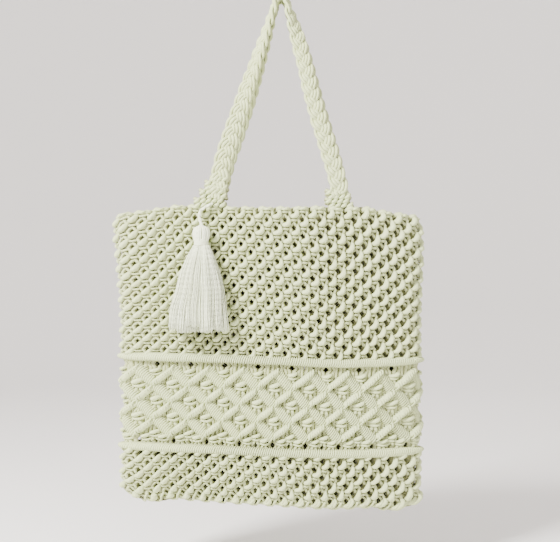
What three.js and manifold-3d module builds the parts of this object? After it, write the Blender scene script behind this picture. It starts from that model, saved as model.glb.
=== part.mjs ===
// Knotted cord tote bag, hanging by its two plaited handles, with a tassel on the front.
// Millimetres. X runs to the right along the front, Y from front to back, Z up.
// The origin is the point under the top of the handles where the bag hangs.
import * as THREE from 'three';
import { mergeVertices } from 'three/addons/utils/BufferGeometryUtils.js';
import Module from 'manifold-3d';

// Bag body
const bagWidth = 345;
const bagDepth = 37;
const bodyHeight = 346;
const rimDrop = 240;
const bodyShift = 12.4;
const wall = 8;
const foldSharpness = 10;
const foldFullness = 0.2;
const crowding = 0.036;
const crowdSharpness = 8;
const cornerSag = 7;
const cornerSagPlace = 0.86;
const cornerSagSpread = 0.1;
const seamShare = 0.8;

// Knotting
const knotsRound = 36;
const columns = 2 * knotsRound;
const knotRows = 18;
const lowerRows = 6;
const gapWidth = 5.4;
const gapHeight = 6.4;
const picotRise = 4;

// Ribs and diamond lattice
const ribHeight = 8.5;
const ribProud = 3;
const ribTip = 4;
const ribTipSharpness = 24;
const ribFlat = 0.2;
const latticeProud = 2.6;
const latticeWidth = 7.4;
const latticeStart = 8.9;
const latticeStep = 19.5;
const diamondKnotProud = 2.4;
const edgeGapSet = 4.6;
const bandEndShare = 0.16;

// Handles
const strapWidth = 19;
const strapThickness = 9;
const lobePitch = 14;
const lobeDepth = 1.3;
const baseWidth = 40;
const baseHeight = 26;
const baseLeft = -84.3;
const baseRight = 68.7;
const topWidth = 17;
const topSpread = 6.2;
const backLean = 4;
const shoulderSpread = 0.72;
const shoulderFall = 0.4;
const strapSection = [[1, 0], [0.5, 1], [-0.5, 1], [-1, 0], [-0.5, -1], [0.5, -1]];

// Tassel
const tasselAt = -91.6;
const tasselDrop = 263;
const headWidth = 19.6;
const headDepth = 16;
const headHeight = 14.9;
const bindingWidth = 17.6;
const bindingDepth = 15;
const bindingHeight = 8.6;
const skirtLength = 100;
const skirtWidth = 73;
const skirtDepth = 28;
const lockCount = 10;
const lockReach = 0.68;
const lockGirth = 0.32;
const lockSides = 6;
const lockSteps = 4;
const lockUnevenness = 0.035;
const lockWaves = 3;
const lockWaveTurn = 0.8;
const coreGirth = 0.72;
const coreLength = 0.93;
const tasselSides = 14;
const tieDiameter = 3.4;
const tieSides = 8;
const tieSteps = 14;
const tasselClearance = 1.5;

// Clearances
const clearance = 0.3;

// Heights of the four lines round the bag, as shares of the body height below the rim,
// at five places across: the two folds, the quarters and the middle.
const lines = [
  { line: 'rim', left: 0.035, nearLeft: 0.001, middle: 0, nearRight: 0.003, right: 0.043 },
  { line: 'upper rib', left: 0.503, nearLeft: 0.507, middle: 0.515, nearRight: 0.525, right: 0.516 },
  { line: 'lower rib', left: 0.803, nearLeft: 0.811, middle: 0.822, nearRight: 0.827, right: 0.818 },
  { line: 'hem', left: 0.957, nearLeft: 0.978, middle: 0.993, nearRight: 1.004, right: 0.985 },
];

// Half widths and depth down the bag, as shares of the named sizes. Level 0 is the rim,
// 1 the upper rib, 2 the lower rib and 3 the hem. Crowd is how much the knots bunch at the right.
const levels = [
  { level: 0, left: 1.04, right: 0.995, depth: 0.82, crowd: 1 },
  { level: 0.12, left: 1.05, right: 1.013, depth: 0.92, crowd: 1 },
  { level: 0.3, left: 1.03, right: 1.013, depth: 1, crowd: 1 },
  { level: 0.55, left: 1.01, right: 1, depth: 1.04, crowd: 1 },
  { level: 0.8, left: 1, right: 0.995, depth: 1, crowd: 0.8 },
  { level: 1, left: 1, right: 1, depth: 0.96, crowd: 0.6 },
  { level: 1.5, left: 0.983, right: 0.987, depth: 0.96, crowd: 0.3 },
  { level: 2, left: 0.997, right: 1, depth: 0.9, crowd: 0 },
  { level: 2.4, left: 0.997, right: 1, depth: 0.84, crowd: 0 },
  { level: 2.8, left: 1.005, right: 0.99, depth: 0.68, crowd: 0 },
  { level: 2.92, left: 0.995, right: 1.018, depth: 0.54, crowd: 0 },
  { level: 3, left: 0.965, right: 1, depth: 0.44, crowd: 0 },
];

// Centre line of the handles, from the top down each leg: drop is a share of the rim drop and
// reach a share of the leg's base distance.
const leftLeg = [
  { drop: 0.014, reach: 0.078 },
  { drop: 0.25, reach: 0.3 },
  { drop: 0.494, reach: 0.531 },
  { drop: 0.781, reach: 0.799 },
  { drop: 0.853, reach: 0.846 },
  { drop: 0.925, reach: 0.895 },
];
const rightLeg = [
  { drop: 0.014, reach: 0.095 },
  { drop: 0.254, reach: 0.338 },
  { drop: 0.494, reach: 0.546 },
  { drop: 0.829, reach: 0.907 },
  { drop: 0.925, reach: 0.985 },
];
const legTurns = { left: 0.6, right: 0.25 };
const turnPower = 1.2;

// Outline of the tassel's skirt, as shares of its length, width and depth. Lean is a share of
// the width by which it hangs to the left.
const skirtRows = [
  { down: 0, width: 0.25, depth: 0.5, lean: 0 },
  { down: 0.12, width: 0.42, depth: 0.66, lean: -0.01 },
  { down: 0.32, width: 0.64, depth: 0.82, lean: -0.02 },
  { down: 0.52, width: 0.77, depth: 0.92, lean: -0.02 },
  { down: 0.72, width: 0.9, depth: 1, lean: -0.05 },
  { down: 1, width: 1, depth: 1, lean: -0.06 },
];

// Route of the cord that ties the tassel to the foot of the handle: side is measured from the
// tassel's axis, rise from the top of its head and out from the front of the rim.
const tieRoute = [
  { side: 11.5, rise: 25.5, out: 2.3 },
  { side: 4.5, rise: 21.5, out: 3 },
  { side: -1.5, rise: 16.5, out: 4 },
  { side: -2.6, rise: 10, out: 5.5 },
  { side: -0.8, rise: 4, out: 8 },
  { side: 0, rise: 0.4, out: 9.4 },
];

const lineIndex = (name) => lines.findIndex(({ line }) => line === name);

const ecru = { color: 0xd9d8c0, roughness: 0.95, metalness: 0 };
const palerEcru = { color: 0xe8efdc, roughness: 0.95, metalness: 0 };

// Straight blend between the two rows of a table that hold a value of its key column.
function rowAt(table, key, value) {
  let index = 1;
  while (index < table.length - 1 && table[index][key] < value) index += 1;
  const low = table[index - 1];
  const high = table[index];
  const share = THREE.MathUtils.clamp((value - low[key]) / (high[key] - low[key]), 0, 1);
  const row = {};
  for (const column of Object.keys(low)) row[column] = low[column] + (high[column] - low[column]) * share;
  return row;
}

// Height of one of the four lines at a place across the bag, -1 at the left fold to 1 at the right.
function lineHeight(index, across) {
  const row = lines[index];
  const stations = [row.left, row.nearLeft, row.middle, row.nearRight, row.right];
  const place = THREE.MathUtils.clamp((across + 1) * 2, 0, 4);
  const start = Math.min(3, Math.floor(place));
  const before = stations[Math.max(0, start - 1)];
  const after = stations[Math.min(4, start + 2)];
  const t = place - start;
  const slopeIn = (stations[start + 1] - before) / 2;
  const slopeOut = (after - stations[start]) / 2;
  const rise = stations[start + 1] - stations[start];
  const bend = 3 * rise - 2 * slopeIn - slopeOut;
  const sway = slopeIn + slopeOut - 2 * rise;
  const share = stations[start] + t * (slopeIn + t * (bend + t * sway));
  const offCorner = (Math.abs(across) - cornerSagPlace) / cornerSagSpread;
  const sag = index === lineIndex('hem') ? cornerSag * Math.exp(-offCorner * offCorner) : 0;
  return -rimDrop - bodyHeight * share - sag;
}

// Point of the bag's flattened section. The turn is 0 at the left fold, pi at the right fold, and
// the front lies between them. The inset moves the wall inwards and the tip draws out the folds.
function sectionPoint(level, turn, inset, tip) {
  const row = rowAt(levels, 'level', level);
  const across = -Math.cos(turn);
  const side = across < 0 ? row.left : row.right;
  const halfWidth = side * bagWidth / 2 - inset + tip * Math.abs(across) ** ribTipSharpness;
  const halfDepth = row.depth * bagDepth / 2 * (1 + foldFullness * across) - inset;
  const swell = Math.sqrt(Math.max(0, 1 - Math.abs(across) ** foldSharpness));
  const facing = turn <= Math.PI ? -1 : 1;
  return { across, x: halfWidth * across - bodyShift, y: facing * halfDepth * swell };
}

// Running lengths along the front half of the section at one level.
const lengthSteps = 160;
const lengthTables = new Map();
function runningLengths(level) {
  const key = level.toFixed(4);
  if (lengthTables.has(key)) return lengthTables.get(key);
  const lengths = [0];
  let last = sectionPoint(level, 0, 0, 0);
  for (let step = 1; step <= lengthSteps; step += 1) {
    const next = sectionPoint(level, Math.PI * step / lengthSteps, 0, 0);
    lengths.push(lengths[step - 1] + Math.hypot(next.x - last.x, next.y - last.y));
    last = next;
  }
  lengthTables.set(key, lengths);
  return lengths;
}

// Turn of the section at a place counted in knots from the left fold, evenly spaced along the
// cloth apart from the bunching towards the right fold.
function turnAt(level, knots) {
  const share = THREE.MathUtils.euclideanModulo(knots / knotsRound, 1);
  const fromLeft = share <= 0.5 ? share * 2 : 2 - share * 2;
  const crowd = crowding * rowAt(levels, 'level', level).crowd;
  const spread = fromLeft * (1 + crowd) - crowd * fromLeft ** crowdSharpness;
  const lengths = runningLengths(level);
  const target = spread * lengths[lengthSteps];
  let step = 1;
  while (step < lengthSteps && lengths[step] < target) step += 1;
  const part = (target - lengths[step - 1]) / (lengths[step] - lengths[step - 1]);
  const turn = Math.PI * (step - 1 + part) / lengthSteps;
  return share <= 0.5 ? turn : 2 * Math.PI - turn;
}

// A zone is the cloth between two lines. Share 0 is its top edge and share 1 its bottom edge.
const ribRoom = ribHeight / 2 + clearance;
const zones = {
  upper: { start: lineIndex('rim'), topGap: 0, bottomGap: ribRoom },
  band: { start: lineIndex('upper rib'), topGap: ribRoom, bottomGap: ribRoom },
  lower: { start: lineIndex('lower rib'), topGap: ribRoom, bottomGap: 0 },
};

function zonePoint(zone, knots, share, inset, lift) {
  const level = zone.start + share;
  const spot = sectionPoint(level, turnAt(level, knots), inset, 0);
  const top = lineHeight(zone.start, spot.across) - zone.topGap;
  const bottom = lineHeight(zone.start + 1, spot.across) + zone.bottomGap;
  return new THREE.Vector3(spot.x, spot.y, top + (bottom - top) * share + lift);
}

// Collects points and faces of one closed body. Faces run counterclockwise seen from outside.
class Skin {
  constructor() {
    this.points = [];
    this.triangles = [];
    this.known = new Map();
  }

  add(point) {
    this.points.push(point.x, point.y, point.z);
    return this.points.length / 3 - 1;
  }

  spot(zone, knots, share, inset, lift = 0) {
    const place = THREE.MathUtils.euclideanModulo(knots, knotsRound);
    const key = [place.toFixed(3), share.toFixed(5), inset.toFixed(3), lift.toFixed(3)].join(' ');
    if (!this.known.has(key)) this.known.set(key, this.add(zonePoint(zone, place, share, inset, lift)));
    return this.known.get(key);
  }

  face(corners, reversed = false) {
    const order = reversed ? [...corners].reverse() : corners;
    for (let i = 1; i < order.length - 1; i += 1) this.triangles.push(order[0], order[i], order[i + 1]);
  }

  geometry() {
    const geometry = new THREE.BufferGeometry();
    geometry.setAttribute('position', new THREE.Float32BufferAttribute(this.points, 3));
    geometry.setIndex(this.triangles);
    return geometry;
  }
}

const pitch = runningLengths(0.5)[lengthSteps] * 2 / knotsRound;
const gapHalfKnots = gapWidth / 2 / pitch;

function zoneHeight(zone) {
  const top = lineHeight(zone.start, 0) - zone.topGap;
  return top - lineHeight(zone.start + 1, 0) - zone.bottomGap;
}

// The four corners of a diamond gap, in the order left, bottom, right, top.
function gapCorners(skin, zone, knots, share, inset) {
  const halfShare = gapHeight / 2 / zoneHeight(zone);
  return [
    skin.spot(zone, knots - gapHalfKnots, share, inset),
    skin.spot(zone, knots, share + halfShare, inset),
    skin.spot(zone, knots + gapHalfKnots, share, inset),
    skin.spot(zone, knots, share - halfShare, inset),
  ];
}

function gapWalls(skin, zone, knots, share) {
  const outer = gapCorners(skin, zone, knots, share, 0);
  const inner = gapCorners(skin, zone, knots, share, wall);
  for (let i = 0; i < 4; i += 1) {
    const next = (i + 1) % 4;
    skin.face([outer[i], outer[next], inner[next], inner[i]]);
  }
}

// Cell of the wall with a diamond gap through it, given its four corners.
function gapCell(skin, corners, gap, reversed) {
  const [topLeft, bottomLeft, bottomRight, topRight] = corners;
  const [left, bottom, right, top] = gap;
  skin.face([topLeft, bottomLeft, left], reversed);
  skin.face([bottomLeft, bottom, left], reversed);
  skin.face([bottomLeft, bottomRight, bottom], reversed);
  skin.face([bottomRight, right, bottom], reversed);
  skin.face([bottomRight, topRight, right], reversed);
  skin.face([topRight, top, right], reversed);
  skin.face([topRight, topLeft, top], reversed);
  skin.face([topLeft, left, top], reversed);
}

// Plain knotted field: rows of cells down from the top edge, some of them with gaps. A row gives
// the share where it ends, outside and inside, and the knot place of its first gap if it has any.
function fieldSkin(zone, rows, topRise, closed) {
  const skin = new Skin();
  const place = (column) => (column + 0.5) / 2;
  const rim = (column, share) => (column % 2 === 0 && share === 0 ? topRise : 0);
  const outside = (column, { outer }) => skin.spot(zone, place(column), outer, 0, rim(column, outer));
  const inside = (column, { inner }) => skin.spot(zone, place(column), inner, wall, rim(column, inner));
  for (let r = 1; r < rows.length; r += 1) {
    const above = rows[r - 1];
    const below = rows[r];
    for (let column = 0; column < columns; column += 1) {
      const next = (column + 1) % columns;
      const corners = [[column, above], [column, below], [next, below], [next, above]];
      const outer = corners.map(([side, row]) => outside(side, row));
      const inner = corners.map(([side, row]) => inside(side, row));
      const middle = (column + 1) / 2;
      const hasGap = below.firstGap !== undefined && (middle - below.firstGap) % 2 === 0;
      if (hasGap) {
        const share = (above.outer + below.outer) / 2;
        gapCell(skin, outer, gapCorners(skin, zone, middle, share, 0), false);
        gapCell(skin, inner, gapCorners(skin, zone, middle, share, wall), true);
        gapWalls(skin, zone, middle, share);
      } else {
        skin.face(outer);
        skin.face(inner, true);
      }
    }
  }
  const first = rows[0];
  const last = rows[rows.length - 1];
  for (let column = 0; column < columns; column += 1) {
    const next = (column + 1) % columns;
    skin.face([outside(column, first), outside(next, first), inside(next, first), inside(column, first)]);
    if (closed) continue;
    skin.face([outside(next, last), outside(column, last), inside(column, last), inside(next, last)]);
  }
  if (closed) closeSeam(skin, (column) => outside(column, last), (column) => inside(column, last));
  return skin;
}

// Joins the front edge to the back edge across the bottom, outside and inside.
function closeSeam(skin, outside, inside) {
  const half = columns / 2;
  for (let column = 0; column < half - 1; column += 1) {
    const facing = columns - 1 - column;
    skin.face([outside(column + 1), outside(column), outside(facing), outside(facing - 1)]);
    skin.face([inside(column + 1), inside(column), inside(facing), inside(facing - 1)], true);
  }
}

// Rows for a field whose gaps fall in some of its knot rows. Odd rows are offset by half a knot.
function fieldRows(rowCount, gapRows, lastInner) {
  const rows = [{ outer: 0, inner: 0 }];
  for (const { row, firstGap } of gapRows) {
    const start = row / rowCount;
    const end = (row + 1) / rowCount;
    rows.push({ outer: start, inner: start });
    rows.push({ outer: end, inner: end, firstGap });
  }
  rows.push({ outer: 1, inner: lastInner });
  return rows;
}

function upperField() {
  const gapRows = [{ row: 4, firstGap: 1 }, { row: 9, firstGap: 0.5 }, { row: 14, firstGap: 1 }];
  return fieldSkin(zones.upper, fieldRows(knotRows, gapRows, 1), picotRise, false).geometry();
}

function lowerField() {
  const gapRows = [{ row: 1, firstGap: 0.5 }];
  return fieldSkin(zones.lower, fieldRows(lowerRows, gapRows, seamShare), 0, true).geometry();
}

// One diamond of the lattice: raised edges, a lower field and a raised knot in the middle.
function latticeDiamond(skin, knots, share, stepShare, inner) {
  const zone = zones.band;
  const crest = (side, down) => skin.spot(zone, knots + side, share + down * stepShare, -latticeProud);
  const low = (side, down) => skin.spot(zone, knots + side * inner, share + down * inner * stepShare, 0);
  const middle = skin.spot(zone, knots, share, -diamondKnotProud);
  const corners = [[0, -1], [-1, 0], [0, 1], [1, 0]];
  corners.forEach(([side, down], i) => {
    const [nextSide, nextDown] = corners[(i + 1) % 4];
    const half = crest((side + nextSide) / 2, (down + nextDown) / 2);
    skin.face([crest(side, down), half, low(side, down)]);
    skin.face([half, low(nextSide, nextDown), low(side, down)]);
    skin.face([half, crest(nextSide, nextDown), low(nextSide, nextDown)]);
    skin.face([low(side, down), low(nextSide, nextDown), middle]);
  });
}

// The stretch between a rib and the lattice, with a gap close to the rib. Sense is 1 at the top
// edge of the band and -1 at the bottom edge.
function latticeEnd(skin, knots, edge, near, far, sense, inner) {
  const zone = zones.band;
  const reversed = sense < 0;
  const rimSpot = (side) => skin.spot(zone, knots + side, edge, 0);
  const crest = (side, share) => skin.spot(zone, knots + side, share, -latticeProud);
  const low = (side, share) => skin.spot(zone, knots + side, share, 0);
  const [t1, t2, t3, t4, t5] = [-1, -0.5, 0, 0.5, 1].map(rimSpot);
  const crests = [crest(-1, near), crest(-0.5, (near + far) / 2), crest(0, far)];
  const crestsRight = [crest(0.5, (near + far) / 2), crest(1, near)];
  const lowLeft = low(-inner, near);
  const lowRight = low(inner, near);
  const lowMiddle = low(0, near + (far - near) * inner);
  const gapShare = edge + sense * edgeGapSet / zoneHeight(zone);
  const gap = gapCorners(skin, zone, knots, gapShare, 0);
  const left = gap[0];
  const right = gap[2];
  const farGap = sense > 0 ? gap[1] : gap[3];
  const nearGap = sense > 0 ? gap[3] : gap[1];
  const faces = [
    [crests[0], crests[1], lowLeft], [crests[1], lowMiddle, lowLeft], [crests[1], crests[2], lowMiddle],
    [crests[2], crestsRight[0], lowMiddle], [crestsRight[0], lowRight, lowMiddle],
    [crestsRight[0], crestsRight[1], lowRight],
    [t1, crests[0], lowLeft], [t1, lowLeft, t2], [t2, lowLeft, left], [lowLeft, farGap, left],
    [lowLeft, lowMiddle, farGap], [lowMiddle, lowRight, farGap], [lowRight, right, farGap],
    [lowRight, t4, right], [t4, nearGap, right], [t4, t3, nearGap], [t3, t2, nearGap],
    [t2, left, nearGap], [lowRight, crestsRight[1], t5], [lowRight, t5, t4],
  ];
  for (const corners of faces) skin.face(corners, reversed);
  gapWalls(skin, zone, knots, gapShare);
  innerEnd(skin, knots, edge, edge + sense * bandEndShare, gapShare, sense);
}

// Inner face of the band beside one edge gap.
function innerEnd(skin, knots, edge, end, gapShare, sense) {
  const zone = zones.band;
  const reversed = sense > 0;
  const sides = [-1, -0.5, 0, 0.5, 1];
  const [t1, t2, t3, t4, t5] = sides.map((side) => skin.spot(zone, knots + side, edge, wall));
  const [b1, b2, b3, b4, b5] = sides.map((side) => skin.spot(zone, knots + side, end, wall));
  const gap = gapCorners(skin, zone, knots, gapShare, wall);
  const left = gap[0];
  const right = gap[2];
  const farGap = sense > 0 ? gap[1] : gap[3];
  const nearGap = sense > 0 ? gap[3] : gap[1];
  const faces = [
    [t1, b1, b2, t2], [t2, b2, left], [b2, farGap, left], [b2, b3, farGap], [b3, b4, farGap],
    [b4, right, farGap], [b4, t4, right], [t4, nearGap, right], [t4, t3, nearGap], [t3, t2, nearGap],
    [t2, left, nearGap], [t4, b4, b5, t5],
  ];
  for (const corners of faces) skin.face(corners, reversed);
}

function diamondBand() {
  const zone = zones.band;
  const skin = new Skin();
  const height = zoneHeight(zone);
  const stepShare = latticeStep / height;
  const start = latticeStart / height;
  const rowShare = (row) => start + row * stepShare;
  const halfDiagonal = pitch * latticeStep / Math.hypot(pitch, latticeStep);
  const inner = 1 - latticeWidth / 2 / halfDiagonal;
  for (let knots = 0; knots < knotsRound; knots += 2) {
    latticeDiamond(skin, knots + 1, rowShare(1), stepShare, inner);
    latticeDiamond(skin, knots, rowShare(2), stepShare, inner);
    latticeDiamond(skin, knots + 1, rowShare(3), stepShare, inner);
    latticeEnd(skin, knots, 0, rowShare(0), rowShare(1), 1, inner);
    latticeEnd(skin, knots, 1, rowShare(4), rowShare(3), -1, inner);
    for (let side = -1; side < 1; side += 0.5) {
      const inside = (step, share) => skin.spot(zone, knots + side + step, share, wall);
      const [high, low] = [bandEndShare, 1 - bandEndShare];
      skin.face([inside(0, high), inside(0, low), inside(0.5, low), inside(0.5, high)], true);
      for (const edge of [0, 1]) {
        const outside = (step) => skin.spot(zone, knots + side + step, edge, 0);
        skin.face([outside(0), outside(0.5), inside(0.5, edge), inside(0, edge)], edge === 1);
      }
    }
  }
  return skin.geometry();
}

// Rib of hitches round the bag: a ring with a rounded outer side and drawn-out folds.
function rib(line) {
  const skin = new Skin();
  const profile = [
    { inset: wall, lift: 0, tip: 0 },
    { inset: 0, lift: -0.5, tip: 0 },
    { inset: -ribProud, lift: -ribFlat, tip: ribTip },
    { inset: -ribProud, lift: ribFlat, tip: ribTip },
    { inset: 0, lift: 0.5, tip: 0 },
  ];
  const rings = profile.map(({ inset, lift, tip }) => {
    const ring = [];
    for (let column = 0; column < columns; column += 1) {
      const spot = sectionPoint(line, turnAt(line, column / 2), inset, tip);
      const height = lineHeight(line, spot.across) + lift * ribHeight;
      ring.push(skin.add(new THREE.Vector3(spot.x, spot.y, height)));
    }
    return ring;
  });
  rings.forEach((ring, i) => {
    const above = rings[(i + 1) % rings.length];
    for (let column = 0; column < columns; column += 1) {
      const next = (column + 1) % columns;
      skin.face([above[column], ring[column], ring[next], above[next]]);
    }
  });
  return skin.geometry();
}

// Highest point of the rim's loops under a handle base.
function rimTop(base) {
  const heights = [-1, -0.5, 0, 0.5, 1].map((side) => {
    const across = (base + side * baseWidth / 2 + bodyShift) / (bagWidth / 2);
    return lineHeight(0, across);
  });
  return Math.max(...heights) + picotRise;
}

// Centre line of one handle, from the left base over the top to the right base. Facing is -1 for
// the front handle and 1 for the back one, which leans a little to the right.
const baseY = (levels[0].depth * bagDepth - wall) / 2;
const topY = topWidth / 2 + clearance;

function handleRoute(facing) {
  const lean = facing > 0 ? backLean : 0;
  const legPoint = (base, { drop, reach }) => new THREE.Vector3(
    base * reach + lean * Math.sin(Math.PI * drop),
    facing * (topY + (baseY - topY) * Math.min(1, drop * 2)),
    -rimDrop * drop,
  );
  const foot = (base) => new THREE.Vector3(base, facing * baseY, rimTop(base) + clearance);
  const crown = new THREE.Vector3(0, facing * topY, strapThickness / 2);
  const shoulder = (side) => new THREE.Vector3(
    side * topSpread * shoulderSpread,
    facing * topY,
    strapThickness / 2 - topSpread * shoulderFall,
  );
  const left = leftLeg.map((row) => legPoint(baseLeft, row)).reverse();
  const right = rightLeg.map((row) => legPoint(baseRight, row));
  const points = [foot(baseLeft), ...left, shoulder(-1), crown, shoulder(1), ...right, foot(baseRight)];
  return new THREE.CatmullRomCurve3(points, false, 'centripetal');
}

// Plaited strap with lobed edges that widens into a knotted base at each end.
function handle(facing) {
  const skin = new Skin();
  const route = handleRoute(facing);
  const length = route.getLength();
  const rows = 2 * Math.round(length / lobePitch);
  const rings = [];
  for (let row = 0; row <= rows; row += 1) {
    const share = row / rows;
    const centre = route.getPointAt(share);
    const tangent = route.getTangentAt(share);
    const fromEnd = Math.min(share, 1 - share) * length;
    const drop = -centre.z / rimDrop;
    const reach = centre.x < 0 ? legTurns.left : legTurns.right;
    const turned = THREE.MathUtils.clamp(1 - drop / reach, 0, 1) ** turnPower;
    const twist = Math.PI / 2 * turned;
    const settle = THREE.MathUtils.smoothstep(fromEnd, 0, baseHeight);
    const across = new THREE.Vector3(-tangent.z, 0, tangent.x);
    const level = new THREE.Vector3(share < 0.5 ? -1 : 1, 0, 0);
    across.lerp(level, 1 - settle).normalize();
    const through = new THREE.Vector3(0, 1, 0);
    const wide = across.clone().multiplyScalar(Math.cos(twist)).addScaledVector(through, Math.sin(twist));
    const thin = through.clone().multiplyScalar(Math.cos(twist)).addScaledVector(across, -Math.sin(twist));
    const spread = (1 - settle) * (baseWidth - strapWidth) / 2;
    const halfWidth = (twist > Math.PI / 4 ? topWidth : strapWidth) / 2 - lobeDepth / 2 + spread;
    const lobe = lobeDepth * settle * (row % 2 === 0 ? 1 : -1) / 2;
    rings.push(strapSection.map(([side, depth]) => {
      const reachOut = side * halfWidth + (side > 0 ? lobe : -lobe) * Math.abs(side);
      const point = centre.clone().addScaledVector(wide, reachOut);
      return skin.add(point.addScaledVector(thin, depth * strapThickness / 2));
    }));
  }
  for (let row = 0; row < rows; row += 1) {
    for (let i = 0; i < strapSection.length; i += 1) {
      const next = (i + 1) % strapSection.length;
      skin.face([rings[row][i], rings[row + 1][i], rings[row + 1][next], rings[row][next]]);
    }
  }
  skin.face(rings[0]);
  skin.face(rings[rows], true);
  return skin.geometry();
}

// Round body turned about the vertical axis through (radius share, height) rows from the bottom up,
// made oval by its width and depth.
function turned(profile, width, depth, height) {
  const outline = profile.map(([radius, rise]) => new THREE.Vector2(radius / 2, rise * height));
  const geometry = new THREE.LatheGeometry(outline, tasselSides);
  geometry.rotateX(Math.PI / 2);
  geometry.scale(width, depth, 1);
  return geometry;
}

function tasselHead() {
  const profile = [[0, 0], [0.86, 0], [0.97, 0.2], [1, 0.5], [0.9, 0.78], [0.6, 0.95], [0, 1]];
  return turned(profile, headWidth, headDepth, headHeight);
}

function tasselBinding() {
  const profile = [[0, 0], [0.93, 0], [1, 0.2], [1, 0.8], [0.93, 1], [0, 1]];
  return turned(profile, bindingWidth, bindingDepth, bindingHeight);
}

// Skirt of the tassel: a core with tapered locks round it, joined into one body. Its back stays
// in one plane, so that it lies along the front of the bag.
function skirtPoint(down, side, depth) {
  const row = rowAt(skirtRows, 'down', down);
  const halfDepth = row.depth * skirtDepth / 2;
  return new THREE.Vector3(
    row.lean * skirtWidth + side * row.width * skirtWidth / 2,
    bindingDepth / 2 - halfDepth + depth * halfDepth,
    -down * skirtLength,
  );
}

function lockGeometry(angle, reach, girth, length) {
  const geometry = new THREE.CylinderGeometry(1, 1, 1, lockSides, lockSteps);
  geometry.rotateX(Math.PI / 2);
  const position = geometry.getAttribute('position');
  for (let i = 0; i < position.count; i += 1) {
    const down = (0.5 - position.getZ(i)) * length;
    const side = Math.cos(angle) * reach + position.getX(i) * girth;
    const depth = Math.sin(angle) * reach + position.getY(i) * girth;
    const point = skirtPoint(down, side, depth);
    position.setXYZ(i, point.x, point.y, point.z);
  }
  return geometry;
}

function welded(geometry) {
  const bare = geometry.clone();
  bare.deleteAttribute('normal');
  bare.deleteAttribute('uv');
  return mergeVertices(bare, 1e-4);
}

async function joined(geometries) {
  const wasm = await Module();
  wasm.setup();
  let whole = null;
  for (const geometry of geometries) {
    const mesh = welded(geometry);
    const vertProperties = new Float32Array(mesh.getAttribute('position').array);
    const triVerts = new Uint32Array(mesh.getIndex().array);
    const solid = new wasm.Manifold(new wasm.Mesh({ numProp: 3, vertProperties, triVerts }));
    whole = whole === null ? solid : whole.add(solid);
  }
  const result = whole.getMesh();
  const geometry = new THREE.BufferGeometry();
  geometry.setAttribute('position', new THREE.BufferAttribute(new Float32Array(result.vertProperties), 3));
  geometry.setIndex(new THREE.BufferAttribute(new Uint32Array(result.triVerts), 1));
  return geometry;
}

async function tasselSkirt() {
  const core = lockGeometry(0, 0, coreGirth, coreLength);
  const locks = [];
  for (let lock = 0; lock < lockCount; lock += 1) {
    const angle = 2 * Math.PI * (lock + 0.5) / lockCount;
    const wave = (1 + Math.cos(lockWaves * angle + lockWaveTurn)) / 2;
    const length = 1 - lockUnevenness * wave;
    locks.push(lockGeometry(angle, lockReach, lockGirth, length));
  }
  return joined([core, ...locks]);
}

// Tassel axis: its back clears the front of the bag at the height of the skirt's end.
const frontAcross = (tasselAt + bodyShift) / (bagWidth / 2);
const fullDepth = bagDepth * Math.max(...levels.map(({ depth }) => depth));
const frontDepth = fullDepth / 2 * (1 + foldFullness * frontAcross);
const tasselY = -frontDepth - tasselClearance - bindingDepth / 2;

function tasselTie() {
  const rimFront = -levels[0].depth * bagDepth / 2;
  const points = tieRoute.map(({ side, rise, out }) => new THREE.Vector3(
    tasselAt + side,
    rimFront - out,
    -tasselDrop + rise + clearance,
  ));
  const route = new THREE.CatmullRomCurve3(points);
  const section = new THREE.Shape();
  for (let i = 0; i < tieSides; i += 1) {
    const angle = 2 * Math.PI * i / tieSides;
    const [x, y] = [Math.cos(angle) * tieDiameter / 2, Math.sin(angle) * tieDiameter / 2];
    if (i === 0) section.moveTo(x, y);
    else section.lineTo(x, y);
  }
  return new THREE.ExtrudeGeometry(section, { steps: tieSteps, extrudePath: route });
}

function piece(name, geometry, finish) {
  const mesh = new THREE.Mesh(geometry, new THREE.MeshStandardMaterial(finish));
  mesh.name = name;
  return mesh;
}

const bag = new THREE.Group();
bag.add(piece('upper_field', upperField(), ecru));
bag.add(piece('upper_rib', rib(lineIndex('upper rib')), ecru));
bag.add(piece('diamond_band', diamondBand(), ecru));
bag.add(piece('lower_rib', rib(lineIndex('lower rib')), ecru));
bag.add(piece('lower_field', lowerField(), ecru));
bag.add(piece('handle_front', handle(-1), ecru));
bag.add(piece('handle_back', handle(1), ecru));
bag.add(piece('tassel_tie', tasselTie(), palerEcru));

const tassel = new THREE.Group();
tassel.position.set(tasselAt, tasselY, -tasselDrop);
const head = piece('tassel_head', tasselHead(), palerEcru);
head.position.z = -headHeight;
const binding = piece('tassel_binding', tasselBinding(), palerEcru);
binding.position.z = head.position.z - clearance - bindingHeight;
const skirt = piece('tassel_skirt', await tasselSkirt(), palerEcru);
skirt.position.z = binding.position.z - clearance;
tassel.add(head, binding, skirt);
bag.add(tassel);

export default bag;
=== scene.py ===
import math

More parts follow.
